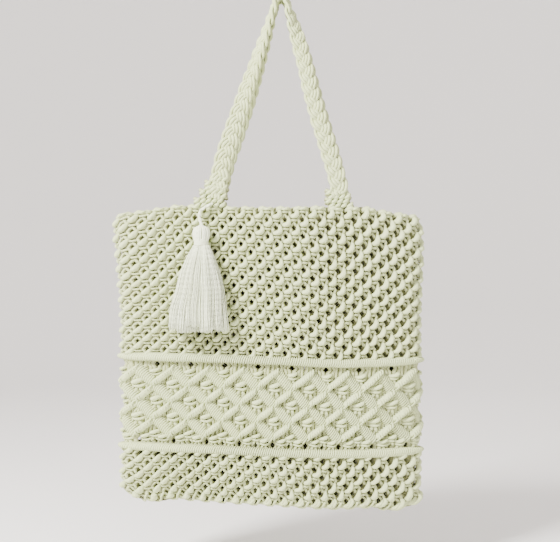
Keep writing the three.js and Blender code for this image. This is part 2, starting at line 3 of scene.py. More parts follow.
import bpy
import numpy as np
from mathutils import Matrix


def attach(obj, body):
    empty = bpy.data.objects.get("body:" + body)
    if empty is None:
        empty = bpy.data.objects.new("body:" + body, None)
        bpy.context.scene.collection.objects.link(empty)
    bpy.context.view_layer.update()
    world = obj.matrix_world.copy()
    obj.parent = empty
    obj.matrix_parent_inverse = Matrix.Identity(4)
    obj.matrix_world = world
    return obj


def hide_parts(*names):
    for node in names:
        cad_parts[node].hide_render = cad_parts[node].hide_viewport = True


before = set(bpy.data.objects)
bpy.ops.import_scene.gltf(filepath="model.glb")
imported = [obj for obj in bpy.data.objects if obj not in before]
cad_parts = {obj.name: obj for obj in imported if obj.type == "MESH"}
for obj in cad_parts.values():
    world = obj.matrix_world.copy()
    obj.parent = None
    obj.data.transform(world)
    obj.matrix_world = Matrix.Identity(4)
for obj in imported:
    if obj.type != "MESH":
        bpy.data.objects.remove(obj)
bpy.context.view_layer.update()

bl_info = {
    "name": "Macrame tote bag",
    "version": (1, 0, 0),
    "blender": (4, 5, 0),
    "location": "View3D > Sidebar > Tote bag",
    "description": "Knotted cord tote bag with ribs, a diamond lattice, plaited handles and a tassel",
    "category": "Add Mesh",
}

MM = 0.001
BODY = "root"

# Form of the bag, in metres
BAG_WIDTH = 345 * MM
BAG_DEPTH = 37 * MM
BODY_HEIGHT = 346 * MM
RIM_DROP = 240 * MM
BODY_SHIFT = 12.4 * MM
WALL = 8 * MM
FOLD_SHARPNESS = 10
FOLD_FULLNESS = 0.2
CROWDING = 0.036
CROWD_POWER = 8
TIP_POWER = 24
CORNER_SAG = 7 * MM
CORNER_SAG_PLACE = 0.86
CORNER_SAG_SPREAD = 0.1
LEAST_DEPTH = 0.8 * MM

# Knotting
KNOTS_ROUND = 36
UPPER_ROWS = 18
LOWER_ROWS = 6
RIB_HEIGHT = 8.5 * MM
RIB_TIP = 4 * MM
TIP_TAPER = 0.4
CLEARANCE = 0.3 * MM
RIB_ROOM = RIB_HEIGHT / 2 + CLEARANCE
LATTICE_START = 8.9 * MM
LATTICE_STEP = 19.5 * MM
LATTICE_ROWS = 4
PICOT_RISE = 4 * MM
FOLD_KNOTS = 3
ROW_STEP = 10.1 * MM
TUCK = 1.6 * MM
TUCK_LEAN = 0.6

# How far out the cords of the cloth lie: the crests, the gaps, and where the cloth itself is set. Painted
# shade grows from none at the crests to nearly full at the gaps.
CREST = 6.3 * MM
TROUGH = -4.6 * MM
CLOTH_OUT = -5.6 * MM

# How far the knots swell out at the folds, and within how many knots.
FOLD_PUFF = 4.2 * MM
FOLD_PUFF_KNOTS = 1.1

# How far the rim stands up beside the folds: knots away from a fold, and the share of the rise.
SHOULDER_RISE = 5.2 * MM
SHOULDER_KNOTS = (0, 0.7, 3.6, 5.2)
SHOULDER_SHARES = (0, 1, 0.9, 0)

# Unevenness of hand knotting along, up and out: the most it moves a cord, and its waves a round.
CLOTH_SWAYS = ((0.55 * MM, 61), (0.45 * MM, 67), (0.4 * MM, 71))
RIB_SWAYS = ((0.35 * MM, 181), (0.3 * MM, 97), (0.25 * MM, 143))

# Points of a piece that are nearer than this are one point.
MERGE = 0.06 * MM

# Handles
STRAP_WIDTH = 19 * MM
STRAP_THICKNESS = 9 * MM
STRAP_SWELL = 0.2
BASE_WIDTH = 40 * MM
BASE_HEIGHT = 26 * MM
BASE_LEFT = -84.3 * MM
BASE_RIGHT = 68.7 * MM
TOP_WIDTH = 17 * MM
TOP_SPREAD = 6.2 * MM
BACK_LEAN = 4 * MM

# Tassel
TASSEL_AT = -91.6 * MM
TASSEL_DROP = 263 * MM
HEAD_WIDTH = 19.6 * MM
HEAD_DEPTH = 16 * MM
HEAD_HEIGHT = 14.9 * MM
BINDING_WIDTH = 17.6 * MM
BINDING_DEPTH = 15 * MM
BINDING_HEIGHT = 8.6 * MM
SKIRT_LENGTH = 100 * MM
SKIRT_WIDTH = 73 * MM
SKIRT_DEPTH = 28 * MM
TASSEL_CLEARANCE = 1.5 * MM

# Heights of the lines round the bag, as shares of the body height below the rim: left fold,
# left quarter, middle, right quarter and right fold.
LINES = (
    (0.035, 0.001, 0.0, 0.003, 0.043),
    (0.503, 0.507, 0.515, 0.525, 0.516),
    (0.803, 0.811, 0.822, 0.827, 0.818),
    (0.957, 0.978, 0.993, 1.004, 0.985),
)
HEM = 3

# Level down the bag, left and right half widths, depth, and crowding of the knots at the right.
LEVEL_LEFT, LEVEL_RIGHT, LEVEL_DEPTH, LEVEL_CROWD = 1, 2, 3, 4
LEVELS = np.array((
    (0.0, 1.04, 0.995, 0.82, 1.0),
    (0.12, 1.05, 1.013, 0.92, 1.0),
    (0.3, 1.03, 1.013, 1.0, 1.0),
    (0.55, 1.01, 1.0, 1.04, 1.0),
    (0.8, 1.0, 0.995, 1.0, 0.8),
    (1.0, 1.0, 1.0, 0.96, 0.6),
    (1.5, 0.983, 0.987, 0.96, 0.3),
    (2.0, 0.997, 1.0, 0.9, 0.0),
    (2.4, 0.997, 1.0, 0.84, 0.0),
    (2.8, 1.005, 0.99, 0.68, 0.0),
    (2.92, 0.995, 1.018, 0.54, 0.0),
    (3.0, 0.965, 1.0, 0.44, 0.0),
))

# Distance of the straps from the middle of the bag at their feet and at the top.
BASE_Y = (LEVELS[0, LEVEL_DEPTH] * BAG_DEPTH - WALL) / 2
TOP_Y = TOP_WIDTH / 2 + CLEARANCE

# The tassel's axis, clear of the deepest part of the front.
TASSEL_FULLNESS = 1 + FOLD_FULLNESS * (TASSEL_AT + BODY_SHIFT) / (BAG_WIDTH / 2)
TASSEL_FRONT = BAG_DEPTH / 2 * LEVELS[:, LEVEL_DEPTH].max() * TASSEL_FULLNESS
TASSEL_Y = -TASSEL_FRONT - TASSEL_CLEARANCE - BINDING_DEPTH / 2

# Centre line of the handles down each leg: shares of the rim drop and of the base distance.
LEFT_LEG = ((0.014, 0.078), (0.25, 0.3), (0.494, 0.531), (0.781, 0.799), (0.853, 0.846),
            (0.925, 0.895))
RIGHT_LEG = ((0.014, 0.095), (0.254, 0.338), (0.494, 0.546), (0.829, 0.907), (0.925, 0.985))

# How far down each leg the strap is still turned from its edge to its face, as a share of the rim
# drop, and how fast the turn fades.
LEFT_TURN = 0.6
RIGHT_TURN = 0.25
TURN_POWER = 1.2

# Outline of the tassel's skirt: down, width, depth and lean, as shares of its length and widths.
SKIRT_WIDE, SKIRT_DEEP, SKIRT_LEAN = 1, 2, 3
SKIRT_ROWS = np.array((
    (0.0, 0.25, 0.5, 0.0),
    (0.12, 0.42, 0.66, -0.01),
    (0.32, 0.64, 0.82, -0.02),
    (0.52, 0.77, 0.92, -0.02),
    (0.72, 0.9, 1.0, -0.05),
    (1.0, 1.0, 1.0, -0.06),
))

# Outline of the tassel's head: down and reach, as shares of its height and half widths.
HEAD_ROWS = np.array((
    (0.0, 0.12),
    (0.06, 0.6),
    (0.2, 0.88),
    (0.45, 1.0),
    (0.7, 0.96),
    (0.9, 0.86),
    (1.06, 0.8),
))

# Route of the tassel's tie in millimetres: side, rise above the head and distance out.
TIE_ROUTE = (
    (11.5, 25.5, 2.3),
    (4.5, 21.5, 3.0),
    (-1.5, 16.5, 4.0),
    (-2.6, 10.0, 5.5),
    (-0.8, 4.0, 8.0),
    (0.0, 0.4, 9.4),
)

# Cords of one square knot in millimetres, seen from outside: along, up, out and girth. The
# place out is measured from the middle of the cloth.
KNOT_BAR = (
    (-0.6, 2.5, 2.2, 2.3),
    (0.9, 2.7, 3.4, 2.8),
    (2.8, 3.4, 4.1, 3.0),
    (4.3, 5.2, 3.9, 2.9),
    (5.1, 7.6, 2.8, 2.5),
    (5.6, 9.8, 1.0, 1.9),
    (5.9, 11.4, -1.2, 1.4),
    (6.2, 12.6, -3.2, 1.1),
)
KNOT_SIDE = (
    (1.8, 16.0, -1.2, 1.5),
    (-1.8, 13.6, 0.4, 1.7),
    (-5.1, 10.3, 0.2, 1.7),
    (-2.9, 6.6, 0.7, 1.8),
    (-2.4, 1.4, -1.2, 1.7),
)
KNOT_UNDER = (
    (-3.2, -1.4, -1.0, 1.4),
    (-1.4, -2.3, 1.4, 1.7),
    (3.4, -2.3, 1.7, 1.7),
    (6.8, -0.8, -1.0, 1.4),
)
KNOT_LEG = (
    (0.6, -4.2, -0.4, 1.7),
    (3.0, -7.9, 0.3, 1.8),
    (6.2, -10.8, -2.0, 1.6),
)
KNOT_PAD = (
    (0.0, 7.2, 0.0, 0.6),
    (0.0, 4.7, 0.0, 9.0),
    (0.0, 0.0, 0.0, 7.9),
    (0.0, -4.7, 0.0, 9.0),
    (0.0, -7.2, 0.0, 0.6),
)
PAD_OUT = -3.4 * MM
PAD_WIDTH = 8.6 * MM
PAD_DEPTH = 1.4 * MM

# The same cords where the cloth is knotted tighter and the gaps close to slits, the size of the
# pad there, the middle and reach of that part in knots from the left fold, how far it fades
# toward the bottom and how much single knots differ.
TIGHT_BAR = (
    (-1.2, 2.3, 2.0, 2.4),
    (0.4, 2.5, 3.2, 2.9),
    (2.9, 3.0, 4.0, 3.1),
    (5.0, 4.6, 3.8, 3.0),
    (5.9, 7.4, 2.9, 2.7),
    (5.6, 10.0, 1.2, 2.2),
    (5.3, 12.0, -1.0, 1.7),
    (5.2, 13.2, -3.2, 1.3),
)
TIGHT_SIDE = (
    (1.0, 15.6, -0.6, 1.7),
    (-0.8, 13.4, 1.0, 2.0),
    (-3.3, 10.2, 0.8, 2.1),
    (-1.9, 6.6, 1.1, 2.1),
    (-1.9, 1.4, -0.8, 1.7),
)
TIGHT_PAD = 1.12
TIGHT_MIDDLE = 8.3
TIGHT_REACH = 3.2
TIGHT_FADE = 0.25
TIGHT_ODD = 0.35

# The thick cord where it runs on more steeply, toward the right fold, and how many knots from the
# left fold that starts and is complete.
STEEP_BAR = (
    (-0.1, 1.8, 2.0, 2.3),
    (1.3, 2.7, 3.4, 2.8),
    (3.1, 4.7, 4.1, 2.9),
    (4.5, 7.3, 3.8, 2.8),
    (5.7, 9.9, 3.0, 2.5),
    (6.8, 12.2, 1.6, 2.0),
    (7.6, 14.0, -0.6, 1.5),
    (8.1, 15.2, -2.8, 1.2),
)
STEEP_START = 10.5
STEEP_FULL = 14.0

# Rounded loops of the rim in millimetres: along, up, out and girth.
RIM_LARGE = (
    (-7.4, -6.0, -2.4, 1.9),
    (-5.8, -3.0, 1.2, 2.6),
    (-2.8, -2.1, 2.0, 2.9),
    (0.4, -3.0, 1.4, 2.6),
    (2.0, -6.0, -2.0, 2.0),
)
RIM_SMALL = (
    (1.6, -6.0, -2.4, 1.8),
    (3.2, -3.2, 0.4, 2.3),
    (5.4, -2.6, 0.9, 2.5),
    (7.6, -3.4, 0.4, 2.2),
    (9.0, -6.0, -2.4, 1.8),
)

# Short knots at the foot of the handles, the ends of their lowest and top rows for the right and
# the left foot, the number of rows and their height, how far they reach below the rim, and the
# width of one knot.
BASE_BAR = (
    (-3.3, -2.2, -0.8, 1.5),
    (-2.0, -1.9, 1.6, 2.1),
    (0.4, -0.8, 2.6, 2.3),
    (2.1, 1.2, 1.7, 1.9),
    (2.9, 3.0, -1.0, 1.4),
)
BASE_UNDER = (
    (-3.6, 2.8, -3.0, 2.2),
    (0.2, 0.4, -1.8, 2.6),
    (3.8, -2.8, -3.0, 2.2),
)
BASE_ENDS = (
    ((53.4, 82.0), (53.4, 76.0)),
    ((-104.0, -66.4), (-82.0, -63.4)),
)
BASE_ROWS = (4, 7)
BASE_ROW = 5.0 * MM
BASE_SINK = 5.5 * MM
BASE_KNOT = 7 * MM

# One hitch over a rib in millimetres: along, up, out and girth.
RIB_WRAP = (
    (2.3, 4.3, -4.0, 0.9),
    (1.6, 4.2, -0.9, 1.05),
    (0.8, 2.6, 1.3, 1.15),
    (0.0, 0.0, 2.1, 1.2),
    (-0.8, -2.6, 1.3, 1.15),
    (-1.6, -4.2, -0.9, 1.05),
    (-2.3, -4.3, -4.0, 0.9),
)
RIB_WRAPS = 288

# Cords of the lattice in millimetres: along, up, out and girth.
LATTICE_BAR = (
    (-9.0, -7.2, -2.0, 2.4),
    (-6.8, -5.4, 1.2, 3.2),
    (-3.3, -2.7, 2.4, 3.7),
    (0.0, 0.0, 2.8, 3.8),
    (3.3, 2.7, 2.4, 3.7),
    (6.8, 5.4, 1.2, 3.2),
    (9.0, 7.2, -2.0, 2.4),
)
BAR_HITCH = (
    (-0.9, -4.5, 0.0, 1.0),
    (-0.7, -3.1, 4.2, 1.15),
    (0.0, 0.0, 5.9, 1.2),
    (0.7, 3.1, 4.2, 1.15),
    (0.9, 4.5, 0.0, 1.0),
)
BAR_HITCHES = 7
BAR_HITCH_STEP = (2.5, 2.0)
TOP_BAR_SHIFT = (3.0, 2.6)
LATTICE_WRAP = (
    (-3.9, -5.9, -2.2, 1.05),
    (-2.6, -3.9, 1.1, 1.2),
    (0.0, 0.0, 2.3, 1.25),
    (2.6, 3.9, 1.1, 1.2),
    (3.9, 5.9, -2.2, 1.05),
)
LATTICE_WRAPS = 11
SMILE_BAR = (
    (-5.6, 2.5, -0.6, 2.0),
    (-4.3, 2.6, 2.4, 2.5),
    (-1.4, 3.0, 3.9, 2.85),
    (1.8, 4.3, 4.0, 2.8),
    (4.7, 5.8, 2.8, 2.4),
    (7.0, 6.9, 0.2, 1.8),
)
SMILE_UNDER = (
    (-6.4, -0.5, -0.8, 1.5),
    (-4.6, -1.3, 1.7, 1.8),
    (-1.2, -2.0, 2.6, 1.9),
    (2.4, -2.1, 2.6, 1.9),
    (5.8, -0.9, 1.6, 1.8),
    (8.4, 1.3, -0.6, 1.5),
)
SMILE_LEG = (
    (-1.5, -2.6, 0.0, 1.8),
    (-2.4, -5.8, 1.4, 2.1),
    (-4.6, -9.4, 0.4, 1.9),
    (-6.0, -11.6, -1.4, 1.6),
)
SMILE_TOP = (
    (-5.0, 4.4, 0.0, 1.3),
    (-3.3, 7.6, 1.7, 1.5),
    (-1.3, 10.8, 1.3, 1.5),
    (0.2, 13.2, -1.0, 1.3),
)

# Cords behind the lattice: how many in two knots, their place out, their girth, and how much
# thinner they are beside a gap.
BACKING_CORDS = 8
BACKING_OUT = -1.2 * MM
BACKING_GIRTH = 2.7 * MM
BACKING_THINNER = 0.7 * MM

# Gaps between those cords beside the upper and the lower rib: distance from the edge of the band,
# reach, and how far the cords are pushed aside.
UPPER_GAP = (3.6 * MM, 2.6 * MM, 2.6 * MM)
LOWER_GAP = (2.8 * MM, 2.4 * MM, 2.2 * MM)

# Distance of the small edge knots from the lattice above and from the rib below.
EDGE_KNOT_ABOVE = 5.4 * MM
EDGE_KNOT_BELOW = 5.6 * MM


def line_height(index, across):
    """Height of a line round the bag at places from -1, the left fold, to 1, the right fold."""
    stations = np.array(LINES[index])
    place = np.clip((across + 1) * 2, 0, 4)
    start = np.minimum(3, np.floor(place).astype(int))
    t = place - start
    here = stations[start]
    after = stations[start + 1]
    slope_in = (after - stations[np.maximum(0, start - 1)]) / 2
    slope_out = (stations[np.minimum(4, start + 2)] - here) / 2
    rise = after - here
    bend = 3 * rise - 2 * slope_in - slope_out
    sway = slope_in + slope_out - 2 * rise
    share = here + t * (slope_in + t * (bend + t * sway))
    off_corner = (np.abs(across) - CORNER_SAG_PLACE) / CORNER_SAG_SPREAD
    sag = CORNER_SAG * np.exp(-off_corner * off_corner) if index == HEM else 0
    return -RIM_DROP - BODY_HEIGHT * share - sag


def level_value(level, column):
    return np.interp(level, LEVELS[:, 0], LEVELS[:, column])


def section(level, turn, out, tip=0.0):
    """Across share, x and y of the flattened section. Out is the distance outward from the wall."""
    across = -np.cos(turn)
    side = np.where(across < 0, level_value(level, LEVEL_LEFT), level_value(level, LEVEL_RIGHT))
    half_width = side * BAG_WIDTH / 2 + out + tip * np.abs(across) ** TIP_POWER
    half_depth = level_value(level, LEVEL_DEPTH) * BAG_DEPTH / 2 * (1 + FOLD_FULLNESS * across) + out
    half_depth = np.maximum(half_depth, LEAST_DEPTH)
    swell = np.sqrt(np.maximum(0, 1 - np.abs(across) ** FOLD_SHARPNESS))
    facing = np.where(turn <= math.pi, -1, 1)
    return across, half_width * across - BODY_SHIFT, facing * half_depth * swell


class TurnTable:
    """Turn of the section for a place counted in knots, at evenly spaced levels."""

    level_steps = 60
    knot_steps = 144
    length_steps = 200

    def __init__(self):
        half = KNOTS_ROUND / 2
        self.levels = np.linspace(0, 3, self.level_steps + 1)
        self.knots = np.linspace(0, half, self.knot_steps + 1)
        turns = np.linspace(0, math.pi, self.length_steps + 1)
        self.rows = []
        self.lengths = []
        for level in self.levels:
            _, x, y = section(level, turns, 0)
            running = np.concatenate(([0], np.cumsum(np.hypot(np.diff(x), np.diff(y)))))
            share = self.knots / half
            crowd = CROWDING * level_value(level, LEVEL_CROWD)
            spread = share * (1 + crowd) - crowd * share ** CROWD_POWER
            self.rows.append(np.interp(spread * running[-1], running, turns))
            self.lengths.append(running[-1] * 2)
        self.rows = np.array(self.rows)

    def turn(self, level, knots):
        place = np.mod(knots, KNOTS_ROUND)
        half = KNOTS_ROUND / 2
        behind = place > half
        place = np.where(behind, KNOTS_ROUND - place, place)
        row = np.clip(level / 3 * self.level_steps, 0, self.level_steps - 1e-6)
        column = np.clip(place / half * self.knot_steps, 0, self.knot_steps - 1e-6)
        r = row.astype(int)
        c = column.astype(int)
        dr = row - r
        dc = column - c
        upper = self.rows[r, c] * (1 - dc) + self.rows[r, c + 1] * dc
        lower = self.rows[r + 1, c] * (1 - dc) + self.rows[r + 1, c + 1] * dc
        turn = upper * (1 - dr) + lower * dr
        return np.where(behind, 2 * math.pi - turn, turn)


TURNS = TurnTable()
PITCH = TURNS.lengths[10] / KNOTS_ROUND


def set_on(knots):
    """Sets the knots of the back half a knot on, so that its gaps lie behind the front's knots."""
    place = np.mod(knots, KNOTS_ROUND)
    half = KNOTS_ROUND / 2
    rise = np.clip((place - half) / FOLD_KNOTS, 0, 1)
    fall = np.clip((KNOTS_ROUND - place) / FOLD_KNOTS, 0, 1)
    return place + 0.5 * np.minimum(rise, fall)


class Zone:
    """Cloth between two lines. Flat places are along, up from its top edge, and out."""

    def __init__(self, start, top_gap, bottom_gap):
        self.start = start
        self.top_gap = top_gap
        self.bottom_gap = bottom_gap
        middle = np.zeros(1)
        top = line_height(start, middle) - top_gap
        self.height = float((top - line_height(start + 1, middle) - bottom_gap)[0])

    def place(self, flat):
        share = -flat[:, 1] / self.height
        level = np.clip(self.start + share, self.start, self.start + 1)
        turn = TURNS.turn(level, set_on(flat[:, 0] / PITCH))
        across, x, y = section(level, turn, flat[:, 2])
        top = line_height(self.start, across) - self.top_gap
        bottom = line_height(self.start + 1, across) + self.bottom_gap
        return np.stack((x, y, top + (bottom - top) * share), axis=1)


UPPER = Zone(0, 0.0, RIB_ROOM)
BAND = Zone(1, RIB_ROOM, RIB_ROOM)
LOWER = Zone(2, RIB_ROOM, 0.0)


def place_on_rib(line, flat):
    """Wraps flat places round a line of the bag, with the rib's tips at both folds."""
    level = np.full(len(flat), float(line))
    turn = TURNS.turn(level, flat[:, 0] / PITCH)
    across, x, y = section(level, turn, flat[:, 2], RIB_TIP)
    rise = flat[:, 1] * (1 - TIP_TAPER * np.abs(across) ** TIP_POWER)
    return np.stack((x, y, line_height(line, across) + rise), axis=1)


def smooth_path(points, steps):
    """Centripetal curve through the points, with a number of steps in each stretch."""
    points = np.array(points, dtype=float)
    before = 2 * points[0] - points[1]
    after = 2 * points[-1] - points[-2]
    knots = np.vstack((before, points, after))
    result = []
    for i in range(1, len(knots) - 2):
        p0, p1, p2, p3 = knots[i - 1:i + 3]
        t01 = max(np.linalg.norm((p1 - p0)[:3]) ** 0.5, 1e-6)
        t12 = max(np.linalg.norm((p2 - p1)[:3]) ** 0.5, 1e-6)
        t23 = max(np.linalg.norm((p3 - p2)[:3]) ** 0.5, 1e-6)
        m1 = (p1 - p0) / t01 - (p2 - p0) / (t01 + t12) + (p2 - p1) / t12
        m2 = (p2 - p1) / t12 - (p3 - p1) / (t12 + t23) + (p3 - p2) / t23
        m1 *= t12
        m2 *= t12
        t = (np.arange(steps) / steps)[:, None]
        result.append((2 * t ** 3 - 3 * t ** 2 + 1) * p1 + (t ** 3 - 2 * t ** 2 + t) * m1
                      + (3 * t ** 2 - 2 * t ** 3) * p2 + (t ** 3 - t ** 2) * m2)
    result.append(points[-1:])
    return np.vstack(result)


def even_path(path, count):
    """The same path with evenly spaced points."""
    gaps = np.linalg.norm(np.diff(path[:, :3], axis=0), axis=1)
    running = np.concatenate(([0], np.cumsum(gaps)))
    places = np.linspace(0, running[-1], count)
    return np.stack([np.interp(places, running, column) for column in path.T], axis=1)


def waver(along, down, seed, cells_along, cells_down):
    """Smooth random values from -1 to 1 over the cloth, the same at both ends of the round."""
    grid = np.random.default_rng(seed).uniform(-1, 1, (cells_down + 2, cells_along))
    u = np.mod(along / (PITCH * KNOTS_ROUND), 1) * cells_along
    v = np.clip(down, 0, 0.9999) * cells_down
    i = np.floor(u).astype(int)
    j = np.floor(v).astype(int)
    a = u - i
    b = v - j
    a = a * a * (3 - 2 * a)
    b = b * b * (3 - 2 * b)
    i0 = np.mod(i, cells_along)
    i1 = np.mod(i + 1, cells_along)
    upper = grid[j, i0] * (1 - a) + grid[j, i1] * a
    lower = grid[j + 1, i0] * (1 - a) + grid[j + 1, i1] * a
    return upper * (1 - b) + lower * b


def sway_cords(flat, down, sways, seeds, rows):
    """Adds the small unevenness of hand knotting to flat places."""
    for axis, ((most, waves), seed) in enumerate(zip(sways, seeds)):
        flat[:, axis] += most * waver(flat[:, 0], down, seed, waves, rows)


def select_only(*pieces):
    bpy.ops.object.select_all(action="DESELECT")
    for piece in pieces:
        piece.select_set(True)
    bpy.context.view_layer.objects.active = pieces[0]


def make_cords(name, routes, roundness):
    """Round cords along routes of along, up, out and girth, as one mesh.

    The mesh has a UV map whose first number is the length along the cord in metres."""
    curve = bpy.data.curves.new(name, "CURVE")
    curve.dimensions = "3D"
    curve.bevel_depth = 1.0
    curve.bevel_resolution = roundness
    curve.use_fill_caps = False
    sides = 4 + 2 * roundness
    lengths = []
    for route in routes:
        spline = curve.splines.new("POLY")
        spline.points.add(len(route) - 1)
        places = np.ones((len(route), 4))
        places[:, :3] = route[:, :3]
        girths = route[:, 3].copy()
        spline.points.foreach_set("co", places.ravel())
        spline.points.foreach_set("radius", girths)
        length = np.linalg.norm(np.diff(route[:, :3], axis=0), axis=1).sum()
        lengths.append(np.full(len(route) * sides, length))
    piece = bpy.data.objects.new(name, curve)
    bpy.context.collection.objects.link(piece)
    select_only(piece)
    bpy.ops.object.convert(target="MESH")
    piece = bpy.context.object
    mesh = piece.data
    corners = np.empty(len(mesh.loops), dtype=int)
    mesh.loops.foreach_get("vertex_index", corners)
    layer = mesh.uv_layers[0]
    uv = np.empty(len(mesh.loops) * 2)
    layer.data.foreach_get("uv", uv)
    uv = uv.reshape(-1, 2)
    uv[:, 0] *= np.concatenate(lengths)[corners]
    layer.data.foreach_set("uv", uv.ravel())
    return piece


def cord_route(table, mirrored=False, shift=(0, 0, 0)):
    """Route through the points of a table in millimetres, with its ends closed to a point."""
    points = np.array(table) * MM
    if mirrored:
        points[:, 0] *= -1
    points[:, :3] += np.array(shift)
    return closed_ends(points)


def closed_ends(route):
    """Rounds off both ends of a route so that the cord is closed there."""
    ends = route[[0, -1]].copy()
    inward = (route[[1, -2], :3] - ends[:, :3])
    inward /= np.linalg.norm(inward, axis=1)[:, None]
    ends[:, :3] -= inward * ends[:, 3:] * 0.5
    ends[:, 3] = 0.02 * MM
    return np.vstack((ends[:1], route, ends[1:]))


def repeat(piece, count, step):
    """Repeats a piece in a row with an Array modifier and applies it."""
    select_only(piece)
    array = piece.modifiers.new("row", "ARRAY")
    array.count = count
    array.use_relative_offset = False
    array.use_constant_offset = True
    array.constant_offset_displace = step
    array.offset_u = 0.37 * MM
    bpy.ops.object.modifier_apply(modifier=array.name)


def repeat_round(piece, every=1):
    """Repeats a piece round the bag, once in so many knots."""
    repeat(piece, KNOTS_ROUND // every, (every * PITCH, 0, 0))


def edit_all(piece, operator, **options):
    """Runs an edit mode operator on the whole of a piece."""
    select_only(piece)
    bpy.ops.object.mode_set(mode="EDIT")
    bpy.ops.mesh.select_all(action="SELECT")
    operator(**options)
    bpy.ops.object.mode_set(mode="OBJECT")


def copy_of(piece, name):
    double = piece.copy()
    double.data = piece.data.copy()
    double.name = name
    bpy.context.collection.objects.link(double)
    return double


def joined(name, pieces):
    """Joins pieces into one named mesh."""
    select_only(*pieces)
    if len(pieces) > 1:
        bpy.ops.object.join()
    piece = bpy.context.object
    piece.name = name
    piece.data.name = name
    return piece


def vertices_of(piece):
    places = np.empty(len(piece.data.vertices) * 3)
    piece.data.vertices.foreach_get("co", places)
    return places.reshape(-1, 3)


def move_vertices(piece, places):
    piece.data.vertices.foreach_set("co", np.asarray(places, dtype=float).ravel())
    piece.data.update()


def set_depth(piece, depth):
    """Keeps how deep the points lie, one number for all or each its own, from 0 on top to 1. The cord
    material mixes in painted shade by this number.
    """
    mesh = piece.data
    attribute = mesh.attributes.get("depth") or mesh.attributes.new("depth", "FLOAT", "POINT")
    attribute.data.foreach_set("value", np.clip(np.broadcast_to(depth, len(mesh.vertices)), 0, 1))


def shift_piece(piece, step):
    move_vertices(piece, vertices_of(piece) + np.array(step))


def shoulder(knots):
    """Where the rim stays high before it drops at a fold, from 0 to 1."""
    away = np.abs(np.mod(knots + KNOTS_ROUND / 4, KNOTS_ROUND / 2) - KNOTS_ROUND / 4)
    return np.interp(away, SHOULDER_KNOTS, SHOULDER_SHARES)


def lay_on(piece, zone, cloth_out, seed, shoulder_rise=0.0):
    """Wraps flat cords round the bag, with the small unevenness of hand knotting."""
    flat = vertices_of(piece)
    down = -flat[:, 1] / zone.height
    rows = max(3, int(round(zone.height / (PITCH / 2))))
    # Painted shade: cords lying deeper, toward the gaps, get more of the shade colour.
    depth = (CREST - flat[:, 2]) / (CREST - TROUGH)
    sway_cords(flat, down, CLOTH_SWAYS, (seed, seed + 1, seed + 2), rows)
    knots = np.mod(flat[:, 0] / PITCH + KNOTS_ROUND / 4, KNOTS_ROUND / 2) - KNOTS_ROUND / 4
    flat[:, 2] += cloth_out + FOLD_PUFF * np.exp(-(knots / FOLD_PUFF_KNOTS) ** 2)
    set_depth(piece, depth)
    places = zone.place(flat)
    places[:, 2] += shoulder_rise * shoulder(flat[:, 0] / PITCH) * np.clip(1 - 2 * down, 0, 1)
    move_vertices(piece, places)


def finish_piece(piece, slot, nodes):
    """Closes the cord ends, smooths the faces and hands the piece to the frame."""
    edit_all(piece, bpy.ops.mesh.remove_doubles, threshold=MERGE)
    bpy.ops.object.shade_smooth()
    piece.data.materials.clear()
    piece.data.materials.append(cord_material(slot))
    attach(piece, BODY)
    if nodes:
        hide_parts(*nodes)


def colour_setting(name, description, default):
    return bpy.props.FloatVectorProperty(
        name=name, description=description, subtype="COLOR", size=3, min=0, max=1, default=default)


class CordSettings(bpy.types.PropertyGroup):
    ecru: colour_setting(
        "Cord colour", "Colour of the body's cord", (0.71, 0.79, 0.45))
    # Painted shade: the cord material mixes this colour into the cord where it lies deep and in the grooves
    # of its twist.
    ecru_painted_shade: colour_setting(
        "Cord shade", "Colour of the cord deep in the gaps", (0.30, 0.29, 0.13))
    white: colour_setting(
        "Tassel colour", "Colour of the tassel's cotton", (0.95, 1.0, 0.78))
    # Painted shade: the cord material mixes this colour into the tassel's cotton inside the locks and in the
    # grooves of its twist.
    white_painted_shade: colour_setting(
        "Tassel shade", "Colour of the cotton between the strands", (0.72, 0.80, 0.56))
    roughness: bpy.props.FloatProperty(
        name="Roughness", description="Roughness of the cotton", min=0, max=1, default=0.92)
    sheen: bpy.props.FloatProperty(
        name="Fuzz", description="Soft light along the edges of the cotton", min=0, max=1, default=0.12)
    twist: bpy.props.FloatProperty(
        name="Twist length", description="Length of one turn of the cord's twist",
        unit="LENGTH", min=0.001, default=7 * MM)
    strands: bpy.props.IntProperty(
        name="Strands", description="Twisted strands seen round a cord", min=2, max=12, default=4)


class KnotSettings(bpy.types.PropertyGroup):
    rib_wraps: bpy.props.IntProperty(
        name="Rib hitches", description="Hitches round each rib", min=36, max=600, default=RIB_WRAPS)
    rib_proud: bpy.props.FloatProperty(
        name="Rib rise", description="How far the hitches are set outward",
        unit="LENGTH", default=0.0)
    bar_wraps: bpy.props.IntProperty(
        name="Lattice hitches", description="Hitches along one side of a diamond",
        min=4, max=20, default=LATTICE_WRAPS)


class HandleSettings(bpy.types.PropertyGroup):
    plait_length: bpy.props.FloatProperty(
        name="Plait length", description="Length of one turn of a strand in the plait",
        unit="LENGTH", min=0.01, default=42 * MM)
    cords: bpy.props.IntProperty(
        name="Cords a strand", description="Cords side by side in each strand", min=1, max=8, default=3)
    cord_girth: bpy.props.FloatProperty(
        name="Cord radius", description="Radius of the cords in the plait",
        unit="LENGTH", min=0.0005, default=1.8 * MM)


class TasselSettings(bpy.types.PropertyGroup):
    locks: bpy.props.IntProperty(
        name="Locks", description="Locks round the skirt", min=4, max=30, default=11)
    lock_strands: bpy.props.IntProperty(
        name="Strands a lock", description="Cut strands in each lock", min=4, max=160, default=96)
    strand_girth: bpy.props.FloatProperty(
        name="Strand radius", description="Radius of one strand", unit="LENGTH", default=0.42 * MM)


